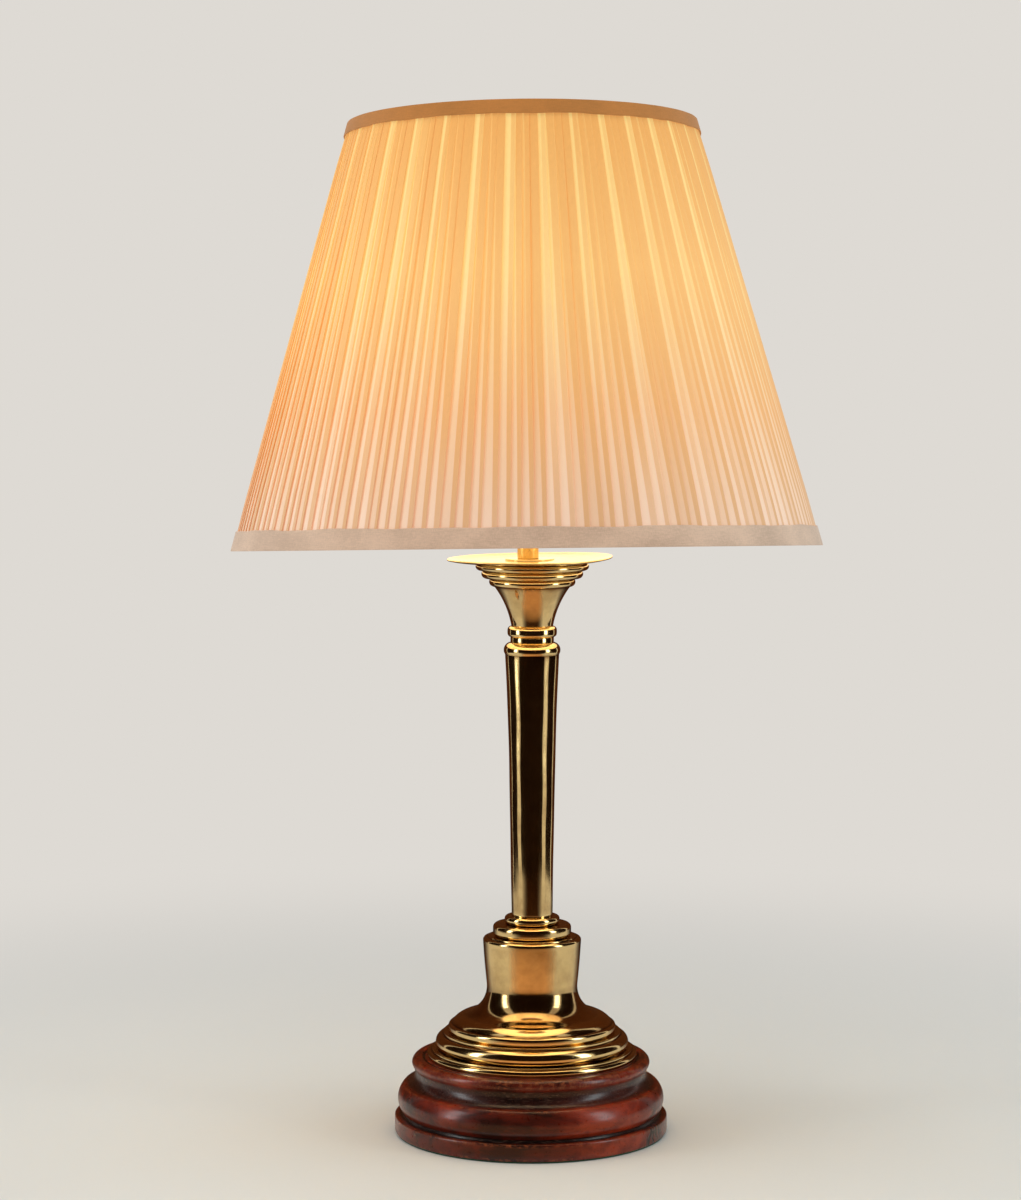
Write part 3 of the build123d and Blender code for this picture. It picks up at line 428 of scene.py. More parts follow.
def cloth_material(name, base, emission, strength, weave):
    """Plain woven cloth, such as a lining or a bias binding: matt, with its threads drawn coarser than
    they are so that they show, and lit faintly from within."""
    material, tree, shader = begin(name)
    place = add(tree, "TexCoord").outputs["Object"]
    warp, weft = (add(tree, "Mapping", {"Vector": place, "Scale": way})
                  for way in ((0.12, 0.12, 1.0), (1.0, 1.0, 0.12)))
    threads = add(tree, "Math", [add(tree, "TexNoise", {"Vector": way, "Scale": per(weave), "Detail": 2})
                                 for way in (warp, weft)], operation="MULTIPLY")
    cloud = add(tree, "TexNoise", {"Vector": place, "Scale": per(26), "Detail": 3})
    tone = add(tree, "Math", [threads, cloud])
    shaded = add(tree, "ValToRGB", [tone], [(0.5, rgba(base, 0.72)), (0.95, rgba(base))])
    bump = add(tree, "Bump", {"Height": threads, "Strength": 0.3, "Distance": 0.15 * MM})
    finish(tree, shader, Base_Color=shaded, Roughness=0.85, Specular_IOR_Level=0.2, Sheen_Weight=0.15,
           Emission_Color=rgba(emission), Emission_Strength=strength, Normal=bump)
    return material


def plain_material(name, code, metallic, rough, grain, relief, **more):
    """A smooth finish of one colour that is still not even: its tone and gloss drift a little,
    with a fine relief of the given grain size in millimetres."""
    material, tree, shader = begin(name)
    place = add(tree, "TexCoord").outputs["Object"]
    cloud = add(tree, "TexNoise", {"Vector": place, "Scale": per(9), "Detail": 4})
    fine = add(tree, "TexNoise", {"Vector": place, "Scale": per(grain), "Detail": 2})
    tone = add(tree, "ValToRGB", [cloud], [(0.3, rgba(linear(code), 0.78)), (0.7, linear(code))])
    gloss = add(tree, "MapRange", [cloud, 0.3, 0.7, rough * 0.8, rough * 1.25])
    bump = add(tree, "Bump", {"Height": fine, "Strength": relief, "Distance": 0.1 * MM})
    finish(tree, shader, Base_Color=tone, Metallic=metallic, Roughness=gloss, Normal=bump, **more)
    return material


def matt_material(name, colour_in):
    """A finish that mirrors nothing, of one colour or of a node's."""
    material, tree, shader = begin(name)
    finish(tree, shader, Base_Color=colour_in, Roughness=1.0, Specular_IOR_Level=0.0)
    return material


# ---------------------------------------------------------------- sizes and colours that a user may change
@named
class WoodSizes(bpy.types.PropertyGroup):
    disc_radius: size("Plain disc at the foot of the base", 77.9)
    disc_height: size("Height of that disc", 9.7)
    disc_edge: size("Rounding of the disc's edges", 0.8)
    groove_radius: size("Bottom of the groove over the disc", 73.5)
    groove_height: size("Width of that groove", 1.0)
    torus_radius: size("Swelling over the groove", 76.0)
    torus_root: size("Where the swelling starts", 72.8)
    torus_height: size("Height of the swelling", 16.5)
    arris_radius: size("Edge between swelling and cove", 72.4)
    shoulder_height: size("From that edge up to the cove's deepest place", 5.5)
    neck_radius: size("Deepest place of the cove under the top bead", 66.3)
    cove_rise: size("From the cove's deepest place up to the bead", 4.6)
    bead_root: size("Where the bead starts", 67.2)
    bead_radius: size("Widest part of the top bead", 67.9)
    bead_top_radius: size("Upper edge of the top bead", 64.0)
    moat_radius: size("Shallow turned moat round the brass", 61.9)
    moat_width: size("Width of that moat", 1.5)
    moat_depth: size("Depth of that moat", 1.2)
    widest: share("Where the bead is widest, up its height", 0.4)
    recess_radius: size("Hollow in the underside", 52.0)
    web: size("Wood left above the hollow", 19.5)
    rod_hole: size("Hole for the threaded rod", 5.4)
    inlet_hole: size("Hole for the cord's bushing", 5.1)
    inlet_spot: size("Counterbore for the bushing's flange", 7.8)


@named
class FootSizes(bpy.types.PropertyGroup):
    flange_radius: size("Rim of the lower casting", 60.0)
    flange_height: size("Height of that rim", 3.6)
    flange_edge: size("Rounding of the rim", 0.6)
    fillet_radius: size("Step over the rim", 57.2)
    fillet_height: size("Height of that step", 1.2)
    roll_radius: size("Roll over the step", 55.0)
    roll_root: size("Where the roll starts", 53.3)
    roll_height: size("Height of the roll", 8.2)
    roll_top_radius: size("Upper edge of the roll", 51.6)
    ledge_radius: size("Ledge under the bell", 50.6)
    wall: size("Thickness of the casting", 3.0)
    hollow_radius: size("Hollow in the casting", 44.0)
    lip_radius: size("Lip at the bell's foot", 47.7)
    lip_height: size("Height of the lip", 4.9)
    lip_edge: size("Rounding of the lip", 1.8)
    crown_radius: size("Where the bell's sweep starts", 38.5)
    crown_height: size("Rise from the lip to the sweep", 4.9)
    crown_fall: size("From the lip in to the middle of the crown", 4.9)
    sweep_radius: size("Middle of the bell's sweep", 29.7)
    sweep_height: size("Height of the sweep's middle", 5.4)
    waist_radius: size("Narrow place of the bell", 25.9)
    waist_height: size("From the crown to the waist", 17.7)
    barrel_middle: size("Radius half way up the barrel", 27.1)
    barrel_radius: size("Top of the barrel", 28.0)
    barrel_height: size("Height of the barrel", 25.0)
    rim_radius: size("Rounded rim on the barrel", 27.5)
    rim_top_radius: size("Upper edge of that rim", 26.3)
    rim_step: size("Height of the rim", 1.7)
    neck_radius: size("Step inside the rim", 25.1)


@named
class StemSizes(bpy.types.PropertyGroup):
    low_ring_radius: size("Lower ring under the stem", 22.3)
    low_ring_height: size("Height of the lower ring", 7.0)
    high_ring_radius: size("Upper ring under the stem", 15.7)
    ring_edge: size("Rounding of the rings", 2.2)
    foot_radius: size("Stem at its foot", 11.7)
    middle_radius: size("Stem where it starts to flare", 13.2)
    middle_height: size("Height of that place", 92.0)
    flare_radius: size("Middle of the flare", 14.1)
    flare_drop: size("From the stem's end down to that place", 33.3)
    top_radius: size("Stem under its bead", 15.3)
    bead_height: size("Bead at the stem's end", 6.8)
    bead_radius: size("Widest part of that bead", 15.7)
    bead_step: size("Chamfer under the bead", 0.8)
    bead_fall: size("From the bead's turn to the stem's end", 2.6)
    fillet_ring_radius: size("Thin ring over the stem", 12.3)
    fillet_ring_height: size("Height of that ring", 3.0)
    collar_radius: size("Collar under the cup", 14.0)
    bore: size("Hole for the threaded rod", 6.8)


@named
class CupSizes(bpy.types.PropertyGroup):
    foot_radius: size("Cup at its foot", 11.8)
    flare_radius: size("Middle of the cup's flare", 15.0)
    flare_height: size("Height of that place", 11.0)
    top_radius: size("Cup under its rings", 21.6)
    height: size("Height of the flare", 22.6)
    ring_height: size("Height of each of the two lower rings", 4.6)
    last_height: size("Height of the top ring", 4.0)
    first_radius: size("Lowest ring", 24.4)
    second_radius: size("Middle ring", 28.8)
    third_radius: size("Top ring", 32.1)
    first_foot: size("Foot of the lowest ring", 22.4)
    second_foot: size("Foot of the middle ring", 26.2)
    third_foot: size("Foot of the top ring", 29.8)
    ring_fall: size("A ring's top edge outside its foot", 1.0)
    hollow: size("Dish in the cup's top", 19.0)
    hollow_depth: size("Depth of that dish", 12.0)
    boss: size("Boss round the rod", 9.0)
    dent_height: size("A knock in the flare, above the cup's foot", 19.5)
    dent_depth: size("Depth of that knock", 1.3)
    pan_radius: size("Rim of the drip pan", 46.9)
    pan_thickness: size("Sheet of the pan", 1.0)
    pan_rise: size("Rim over the pan's floor", 1.3)
    pan_turn: size("Width of the turned-up rim", 5.0)
    pan_floor: size("Flat part of the pan", 30.0)
    pan_hub: size("Hub that the tube stands on", 14.0)
    pan_hub_height: size("Height of that hub", 2.6)
    pan_lean: FloatProperty(description="The loose pan lies left side down",
                            default=math.radians(0.95), subtype="ANGLE")
    pan_ripple: size("How far the thin pan is out of flat", 0.5)


@named
class ShadeSizes(bpy.types.PropertyGroup):
    edge_to_ring: size("From the shade's edge to the middle of its wire ring", 2.42)
    pleats: IntProperty(description="Knife pleats round the shade", default=147)
    pleat_depth: size("Relief of a pleat", 1.7)
    cover_inset: size("Folds' edges inside the bindings' outside", 0.9)
    proud: size("How far the pleats swell out between the bindings", 0.5)
    cloth: size("Thickness of the silk", 0.14)
    lining_inset: size("Lining inside the shade's outside", 5.9)
    lining_sag: size("Lining drawn in between two struts", 1.6)
    struts: IntProperty(description="Upright wires of the shade's frame", default=6)
    first_strut: FloatProperty(description="Plan angle of the first strut",
                               default=math.radians(46), subtype="ANGLE")
    binding: size("Thickness of the binding, two layers of folded silk", 0.8)
    low_binding: size("Height of the bottom binding", 11.0)
    top_binding: size("Height of the top binding", 7.8)
    inner_leg: size("Height of a binding's inner leg", 6.0)
    edge_width: size("Width of the shade's edge, over wire, cover and lining", 7.28)


@named
class Finishes(bpy.types.PropertyGroup):
    wood: colour("Stained mahogany", "#621906")
    wood_dark: colour("Dark streaks of the figure", "#2E0C04")
    # also the colour that the painted glow patch pushes the figure towards
    wood_glow: colour("Light streaks of the figure", "#8E2E12")
    wood_pore: colour("Filled pores and dust in the crevices", "#160A07")
    wood_dust: colour("Crumbs of old polish in the crevices", "#4A352A")
    wood_worn: colour("Bare wood on rubbed edges", "#7E3C1E")
    brass: colour("Polished old brass", "#E4C488")
    patina: colour("Brown tarnish", "#7C5228")
    bright_brass: colour("Lacquered brass of the lampholder", "#E2B768")
    silk_low: colour("Silk at the bottom of the shade", "#DAC6B4")
    silk: colour("Silk half way up", "#D9B78F")
    # painted glow: the top silk's colour is warmed to stand in for the bulb's light through it
    silk_top_painted_glow: colour("Silk at the top, yellowed by heat", "#CE9C60")
    glow_low: colour("Light through one layer at the bottom", "#96715E")
    glow_mid: colour("Light through one layer a third of the way up", "#A67C50")
    glow_high: colour("Light through one layer above the middle", "#B5A259")
    glow_top: colour("Light through one layer at the top", "#B6A868")
    fold_low: colour("Light through three layers at the bottom", "#6E4426")
    fold_mid: colour("Light through three layers a third of the way up", "#9C6526")
    fold_high: colour("Light through three layers above the middle", "#AF874A")
    fold_top: colour("Light through three layers at the top", "#A47C44")
    fold_shade: colour("How much darker and warmer the silk is where it lies threefold", "#F4DCBC")
    lining: colour("Cream lining", "#F0E2CC")
    lining_glow: colour("Light of the bulb in the lining", "#FFF0C8")
    binding: colour("Cream binding of the edges", "#DABCA4")
    # painted glow: the top binding's colour is made amber to stand in for the bulb's light through it
    top_binding: colour("Top binding, yellowed by heat", "#A8642C")
    bulb: colour("Warm light of the bulb", "#FFE4B8")
    paper: colour("Pale floor and background", "#DEDAD4")


# ---------------------------------------------------------------- pieces of turned wood and brass
UPRIGHT = Line((0, 0, 0), (0, 0, 1))
ROD_HOLE = 5.4 * MM         # for the threaded rod, in every brass piece on it
BUSHING_FLANGE = 1.6 * MM   # the cord bushing's flange, sunk into the wood
HOLE_IN, HOLE_OUT = 4 * MM, 9 * MM      # how far the bushing's hole runs past the wood, inside and outside
DENT_ANGLE = math.radians(-115)         # plan angle of the knock in the cup
DENT_WIDTH, DENT_TALL = 1.1 * MM, 2 * MM
# buffing marks round a piece and along it, as a stretch of the scratches
BUFFED_ROUND, BUFFED_LIGHTLY, BUFFED_ALONG = (0.25, 0.25, 2.2), (0.4, 0.4, 2.0), (1.1, 1.1, 0.12)


def wood_outline(s, low, top):
    """Outline of the base: disc, groove, swelling, cove, bead and moat, hollow underneath."""
    disc_top = low + s.disc_height
    torus = disc_top + s.groove_height
    arris = torus + s.torus_height
    neck = arris + s.shoulder_height
    bead = neck + s.cove_rise
    roof, soft, moat = top - s.web, corner(s.disc_edge), top - s.moat_depth
    return outline(
        (s.rod_hole, top), (s.rod_hole, roof), (s.recess_radius, roof), (s.recess_radius, low),
        (s.disc_radius - s.disc_edge, low),
        ((s.disc_radius - soft, low + soft), (s.disc_radius, low + s.disc_edge)),
        (s.disc_radius, disc_top - s.disc_edge),
        ((s.disc_radius - soft, disc_top - soft), (s.disc_radius - s.disc_edge, disc_top)),
        (s.groove_radius, disc_top), (s.groove_radius, torus), (s.torus_root, torus),
        ((s.torus_radius, torus + s.torus_height / 2), (s.arris_radius, arris)),
        ((s.neck_radius, neck), (s.bead_root, bead)),
        ((s.bead_radius, bead + (top - bead) * s.widest), (s.bead_top_radius, top)), (s.moat_radius, top),
        (s.moat_radius - 0.2 * s.moat_width, moat), (s.moat_radius - s.moat_width, moat),
        (s.moat_radius - s.moat_width, top))


def flange_outline(s, low, top):
    """Outline of the lower casting: rim, step, roll and ledge, hollow underneath."""
    step = low + s.flange_height
    roll = step + s.fillet_height
    high = roll + s.roll_height
    return outline(
        (ROD_HOLE, top), (ROD_HOLE, top - s.wall), (s.hollow_radius, top - s.wall),
        (s.hollow_radius, low), (s.flange_radius - s.flange_edge, low),
        ((s.flange_radius, low + s.flange_height / 2), (s.flange_radius - 1.5 * s.flange_edge, step)),
        (s.fillet_radius, step), (s.fillet_radius, roll), (s.roll_root, roll),
        ((s.roll_radius, roll + 0.45 * s.roll_height), (s.roll_top_radius, high)),
        (s.ledge_radius, high), (s.ledge_radius, top))


def bell_outline(s, low, top):
    """Outline of the bell: lip, crown, hollow sweep, barrel and rim, hollow inside."""
    lip = low + s.lip_height
    crown = lip + s.crown_height
    waist = crown + s.waist_height
    barrel = waist + s.barrel_height
    soft, inside, under = corner(s.lip_edge), s.waist_radius - s.wall, s.lip_radius - 2 * s.wall
    return outline(
        (ROD_HOLE, top), (ROD_HOLE, top - s.wall), (inside, top - s.wall), (inside, crown),
        (under, lip - s.wall), (under, low),
        (s.lip_radius - MM, low), (s.lip_radius, low + MM), (s.lip_radius, lip - s.lip_edge),
        ((s.lip_radius - soft, lip - soft), (s.lip_radius - s.lip_edge, lip)),
        ((s.lip_radius - s.crown_fall, lip + 0.64 * s.crown_height), (s.crown_radius, crown)),
        ((s.sweep_radius, crown + s.sweep_height), (s.waist_radius, waist)),
        ((s.barrel_middle, waist + s.barrel_height / 2), (s.barrel_radius, barrel)),
        ((s.rim_radius, barrel + 0.7 * s.rim_step), (s.rim_top_radius, barrel + s.rim_step)),
        (s.neck_radius, barrel + s.rim_step), (s.neck_radius, top))


def corner(edge):
    """How far the middle of a rounded edge lies inside its sharp corner."""
    return edge * (1 - 2 ** -0.5)


def ring_steps(bulge, low, high, edge):
    """Steps of an outline round the outside of a half-round ring."""
    soft = corner(edge)
    return [(bulge - edge, low), ((bulge - soft, low + soft), (bulge, low + edge)), (bulge, high - edge),
            ((bulge - soft, high - soft), (bulge - edge, high))]


def collar_outline(s, low, top):
    """Outline of the two rings under the stem."""
    bore, step = ROD_HOLE, low + s.low_ring_height
    return outline((bore, low), *ring_steps(s.low_ring_radius, low, step, s.ring_edge),
                   *ring_steps(s.high_ring_radius, step, top, 0.82 * s.ring_edge), (bore, top))


def stem_outline(s, low, top):
    """Outline of the tapered stem with its flare and end bead."""
    bead = top - s.bead_height
    return outline(
        (s.bore, low), (s.foot_radius, low), (s.middle_radius, low + s.middle_height),
        ((s.flare_radius, top - s.flare_drop), (s.top_radius, bead)), (s.bead_radius, bead + s.bead_step),
        ((s.bead_radius, top - s.bead_fall), (s.fillet_ring_radius, top)), (s.bore, top))


def neck_outline(s, low, top):
    """Outline of the thin ring and the half-round collar under the cup."""
    step = low + s.fillet_ring_height
    return outline((s.bore, low), (s.fillet_ring_radius, low), (s.fillet_ring_radius, step),
                   *ring_steps(s.collar_radius, step, top, s.ring_edge), (s.bore, top))


def cup_outline(s, low, top, bore):
    """Outline of the cup: a flare and three stepped rings, each larger than the last, and the dish on top."""
    level = low + s.height
    steps = [(bore, low), (s.foot_radius, low),
             ((s.flare_radius, low + s.flare_height), (s.top_radius, level))]
    rings = [(s.first_radius, s.first_foot, s.ring_height), (s.second_radius, s.second_foot, s.ring_height),
             (s.third_radius, s.third_foot, s.last_height)]
    for radius, foot, height in rings:
        steps += [(foot, level), ((radius, level + 0.45 * height), (foot + s.ring_fall, level + height))]
        level += height
    floor, slope = top - s.hollow_depth, s.hollow_depth / 3
    steps += [(s.hollow, top), (s.hollow, floor + slope), (s.hollow - 2 * slope, floor),
              (s.boss, floor), (s.boss, top), (bore, top)]
    return outline(*steps)


def pan_outline(s, bore):
    """Outline of the pan about its own foot: flat floor, sunk hub and a rim that turns up."""
    wall, lift = s.pan_thickness, s.pan_rise / 3
    turn = s.pan_radius - s.pan_turn
    return outline(
        (bore, 0), (s.pan_floor, 0), ((turn, lift), (s.pan_radius - wall / 2, s.pan_rise)),
        ((s.pan_radius, s.pan_rise + wall / 2), (s.pan_radius - wall / 2, s.pan_rise + wall)),
        ((turn - wall, lift + wall), (s.pan_floor, wall)), (bore, wall))


def levels(node):
    """Lowest and highest level of a CAD node."""
    low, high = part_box(node)
    return low.z, high.z


def middle_of(node):
    """Upright axis through the middle of a CAD node's box."""
    low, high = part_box(node)
    return Line(((low.x + high.x) / 2, (low.y + high.y) / 2, 0), (0, 0, 1))


def cut_holes(piece, cutters, sides=64):
    """Cuts cylinders along Y out of a piece. A cutter is its radius, its near end and its far end."""
    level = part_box("cord_inlet_bushing")
    centre = (level[0] + level[1]) / 2
    angle = 2 * np.pi * np.arange(sides) / sides
    faces = [(k, (k + 1) % sides, sides + (k + 1) % sides, sides + k) for k in range(sides)]
    faces += [tuple(range(sides - 1, -1, -1)), tuple(range(sides, 2 * sides))]
    for radius, near, far in cutters:
        rim = polar(radius, angle, 0)[:, [0, 2, 1]]
        ends = [rim + np.array([centre.x, y, centre.z]) for y in (near, far)]
        mesh = bpy.data.meshes.new("cutter")
        mesh.from_pydata(np.concatenate(ends).tolist(), [], faces)
        cutter = joined("cutter", mesh)
        cut = piece.modifiers.new("cut", "BOOLEAN")
        cut.operation, cut.solver, cut.object = "DIFFERENCE", "EXACT", cutter
        bpy.context.view_layer.update()
        made = bpy.data.meshes.new_from_object(piece.evaluated_get(bpy.context.evaluated_depsgraph_get()))
        piece.modifiers.remove(cut)
        piece.data = made
        bpy.data.objects.remove(cutter)
    piece.data.set_sharp_from_angle(angle=math.radians(35))


class LAMP_OT_wood_base(bpy.types.Operator):
    """Turned mahogany base with the hole for the cord's bushing"""
    bl_idname = "lamp.wood_base"
    bl_label = "Wooden Base"

    def execute(self, context):
        sizes, tones = context.scene.lamp_wood, context.scene.lamp_finishes
        material = mahogany_material("French-polished mahogany", tones)
        low, top = levels("wood_base")
        base = turned("base_wood", wood_outline(sizes, low, top), 0.5 * MM, middle_of("wood_base"), material,
                      ["wood_base"], segments=200, dent=0.05 * MM)
        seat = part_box("cord_inlet_bushing")[1].y - BUSHING_FLANGE
        cut_holes(base, [(sizes.inlet_hole, sizes.recess_radius - HOLE_IN, seat + HOLE_OUT),
                         (sizes.inlet_spot, seat, seat + HOLE_OUT)])
        return {"FINISHED"}


class LAMP_OT_brass_foot(bpy.types.Operator):
    """Lower casting and bell of the brass foot"""
    bl_idname = "lamp.brass_foot"
    bl_label = "Brass Foot"

    def execute(self, context):
        sizes, tones = context.scene.lamp_foot, context.scene.lamp_finishes
        material = brass_material("Aged cast brass", tones.brass, tones.patina, 0.5, 0.1, BUFFED_ROUND, 0.5)
        turned("foot_casting", flange_outline(sizes, *levels("foot_flange")), 0.22 * MM, UPRIGHT, material,
               ["foot_flange"], segments=192)
        turned("foot_bell_casting", bell_outline(sizes, *levels("foot_bell")), 0.22 * MM, UPRIGHT, material,
               ["foot_bell"])
        return {"FINISHED"}


class LAMP_OT_stem(bpy.types.Operator):
    """Collar rings, stem and neck collar"""
    bl_idname = "lamp.stem"
    bl_label = "Stem"

    def execute(self, context):
        sizes, tones = context.scene.lamp_stem, context.scene.lamp_finishes
        rings = brass_material("Aged turned brass", tones.brass, tones.patina, 0.5, 0.09, BUFFED_ROUND, 0.4)
        drawn = brass_material("Aged drawn brass", tones.brass, tones.patina, 0.5, 0.08, BUFFED_ALONG, 0.3)
        turned("stem_rings", collar_outline(sizes, *levels("foot_collar")), 0.2 * MM, UPRIGHT, rings,
               ["foot_collar"], segments=128)
        turned("stem_shaft", stem_outline(sizes, *levels("stem")), 0.2 * MM, UPRIGHT, drawn, ["stem"],
               segments=128, dent=0.07 * MM)
        turned("stem_neck", neck_outline(sizes, *levels("neck_collar")), 0.18 * MM, UPRIGHT, rings,
               ["neck_collar"], segments=128)
        return {"FINISHED"}


class LAMP_OT_cup(bpy.types.Operator):
    """Cup with its three rings, the loose drip pan and the tube above it"""
    bl_idname = "lamp.cup"
    bl_label = "Cup and Pan"

    def execute(self, context):
        sizes, tones = context.scene.lamp_cup, context.scene.lamp_finishes
        bore = context.scene.lamp_stem.bore
        cast = brass_material("Aged spun brass", tones.brass, tones.patina, 0.5, 0.09, BUFFED_ROUND, 0.4)
        low, top = levels("cup")
        turned("cup_casting", cup_outline(sizes, low, top, bore), 0.2 * MM, UPRIGHT, cast, ["cup"],
               segments=192, change=lambda points: self.dented(points, low, sizes))
        turned("pan_sheet", pan_outline(sizes, ROD_HOLE), 0.12 * MM, self.pan_axis(sizes), cast,
               ["drip_pan"], segments=192, change=lambda points: self.rippled(points, sizes))
        hub_top = top + sizes.pan_hub_height
        hub = outline((ROD_HOLE, top), (sizes.pan_hub, top), (sizes.pan_hub, hub_top), (ROD_HOLE, hub_top))
        turned("pan_hub", hub, 0.2 * MM, middle_of("drip_pan"), cast, [], segments=96)
        rod = joint_line("lower_ring_turn")
        low, high, radius = rod.reach("spacer_tube")
        tube = outline((ROD_HOLE - MM, low), (radius, low), (radius, high), (ROD_HOLE - MM, high))
        satin = brass_material("Satin tube brass", tones.bright_brass, tones.brass, 0.4, 0.34,
                               BUFFED_LIGHTLY, 0.2)
        turned("candle_tube", tube, 0.15 * MM, rod, satin, ["spacer_tube"], segments=96)
        return {"FINISHED"}

    @staticmethod
    def pan_axis(sizes):
        """Axis of the leaning pan, whose low side just touches the cup's top."""
        low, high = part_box("drip_pan")
        lean, sink = sizes.pan_lean, sizes.pan_radius * math.sin(sizes.pan_lean)
        return Line(((low.x + high.x) / 2, 0, levels("cup")[1] + sink), (-math.sin(lean), 0, math.cos(lean)))

    @staticmethod
    def dented(points, low, sizes):
        """The cup with a knock in its flare: its radius shrinks there by the dent's depth
        times exp(-(s/width)^2 - (z/tall)^2), with s round the cup and z up it."""
        radius = np.hypot(points[..., 0], points[..., 1])
        away = np.arctan2(points[..., 1], points[..., 0]) - DENT_ANGLE
        around, up = radius * away / DENT_WIDTH, (points[..., 2] - low - sizes.dent_height) / DENT_TALL
        factor = 1 - sizes.dent_depth * np.exp(-around ** 2 - up ** 2) / radius
        points[..., :2] *= factor[..., None]
        return points

    @staticmethod
    def rippled(points, sizes):
        """The pan's sheet out of flat: its height changes by
        ripple (r/R)^2 (sin(2a + 0.6) + 0.6 sin(3a + 1)) / 1.6."""
        radius = np.hypot(points[..., 0], points[..., 1]) / sizes.pan_radius
        angle = np.arctan2(points[..., 1], points[..., 0])
        wave = (np.sin(2 * angle + 0.6) + 0.6 * np.sin(3 * angle + 1)) / 1.6
        points[..., 2] += sizes.pan_ripple * radius ** 2 * wave
        return points


# ---------------------------------------------------------------- shade
FULLNESS = 1.72             # girth of the silk before pleating, over the shade's bottom girth
COLUMNS = 240               # of the lining and the bindings
COVER_SHORT, LINING_SHORT = 1.1 * MM, 1.4 * MM  # cover and lining stop this far inside the shade's edges
LINING_CLOTH = 0.25 * MM
TOP_EDGE = 0.5 * MM         # how far down its top edge the shade's upper radius is read
# members of each group of four pleats: their widths at the top and the bottom, how loosely they lap, and
# how much of the glow of threefold silk they have
UPPER_WIDTHS, LOWER_WIDTHS = np.array([1.05, 0.95, 0.9, 1.1]), np.array([1.0, 0.95, 0.95, 1.1])
LOOSENESS, DENSITY = np.array([0.35, 1.0, 0.9, 1.6]), np.array([-0.3, 0.15, 0.25, 0.6])
PAINTED_SHADE_PLEATS = 0.07        # share of pleats that are darker still: painted shade, like the shadows of soft folds
FOLD_BEHIND = 0.25 * MM     # folds' edges behind the cover's inset, before the swell brings them out
# points of the cloth across a pleat: place across it, plus a share of its open face's width; depth from the
# outside, plus a share of that width; and how threefold the cloth is there
PLEAT = np.array([(0, 0, 1, 0, 0), (0, 0.12, 0.74, 0, 0), (0, 0.55, 0.74, -0.45, 0),
                  (-0.03, 1, 0.42, -0.3, 0), (0.03, 1, 0.36, -0.26, 1), (0.5, 0.5, 0.1, 0.08, 1),
                  (0.93, 0, 0.01, 0, 1), (1, 0, 0.06, 0, 0.6), (1, 0, 0.3, 0, 0.4), (0.88, 0, 0.42, 0, 0.4),
                  (0.02, 1, 0.56, 0, 0.9), (0.05, 1, 0.86, 0, 1)])


class Cone:
    """The shade's cone: its axis from the bottom edge up, its height, and its radius at a share of it."""

    def __init__(self, sizes):
        ring_axis = shade_line()
        point = ring_axis.point - sizes.edge_to_ring * ring_axis.direction
        self.axis = Line(point, ring_axis.direction)
        self.bottom = self.axis.reach("bottom_trim")[2]
        self.height = self.axis.reach("top_trim")[1]
        points = points_of("top_trim")
        self.top = self.axis.radii(points)[self.axis.heights(points) > self.height - TOP_EDGE].max()

    def radius(self, height):
        """Outside radius at a height above the bottom edge."""
        return self.bottom + (self.top - self.bottom) * height / self.height

    def carried(self, angle, height, inset):
        """Points at plan angle a and height z, inset from the outside by i:
        ((R(z)-i) cos a, (R(z)-i) sin a, z)."""
        return self.axis.placed(polar(self.radius(height) - inset, angle, height))


def pleat_grid(sizes, cone, rows=27):
    """Angles, insets and layers of a knife-pleated sheet, as (rows, columns) arrays.
    Across a pleat the cloth runs out along its face to the fold's edge, back under it to the inner fold,
    and forward again to where the next face comes out. The width of the hidden part is what is left of the
    cloth's cut, which is the same at every height, so the overlaps close up towards the top."""
    chance = np.random.default_rng(11)
    count = sizes.pleats
    t = np.linspace(0, 1, rows)
    up = t - 0.11 * np.sin(2 * np.pi * t)
    group = np.arange(count) % len(DENSITY)
    upper = UPPER_WIDTHS[group] * chance.uniform(0.8, 1.2, count)
    lower = LOWER_WIDTHS[group] * chance.uniform(0.82, 1.18, count)
    blend = up[:, None] + 0.06 * np.sin(7 * up[:, None] + chance.uniform(0, 6.28, count))
    width = lower * (1 - blend) + upper * blend
    width = 2 * np.pi * width / width.sum(axis=1, keepdims=True)
    start = np.cumsum(width, axis=1) - width
    wanted = (FULLNESS * cone.bottom / cone.radius(up * cone.height) - 1)[:, None] / 2
    loose = LOOSENESS[group] * chance.uniform(0.75, 1.25, count)
    even = np.clip(1.25 - up[:, None], 0, 1)
    lap = np.clip(wanted * (loose * (1 - even) + even * chance.uniform(0.75, 1.25, count)), 0.12, 0.92)
    depth = sizes.pleat_depth * chance.uniform(0.7, 1.15, count) * (0.55 + 0.4 * np.sin(np.pi * up[:, None]))
    face = (1 - lap)[..., None]
    angle = start[..., None] + (PLEAT[:, 0] + PLEAT[:, 1] * face) * width[..., None]
    deep = PLEAT[:, 2] + PLEAT[:, 3] * face
    swell = sizes.proud * np.clip(np.sin(np.pi * up) * 3, 0, 1)[:, None, None]
    inset = sizes.cover_inset + FOLD_BEHIND - swell + deep * depth[..., None]
    member = DENSITY[group] * np.clip(up[:, None] * 1.6, 0, 1)
    # painted shade: the last term makes a few pleats darker, like the shadows of soft folds
    member = member + chance.uniform(-0.22, 0.22, count) + 0.4 * (chance.uniform(0, 1, count) < PAINTED_SHADE_PLEATS)
    member = member + 0.1 * np.sin(6 * up[:, None] + chance.uniform(0, 6.28, count))
    layers = np.clip(PLEAT[:, 4] * 0.75 + member[..., None] + 0.15, 0, 1)
    flat = (rows, -1)
    return up, angle.reshape(flat), inset.reshape(flat), layers.reshape(flat)


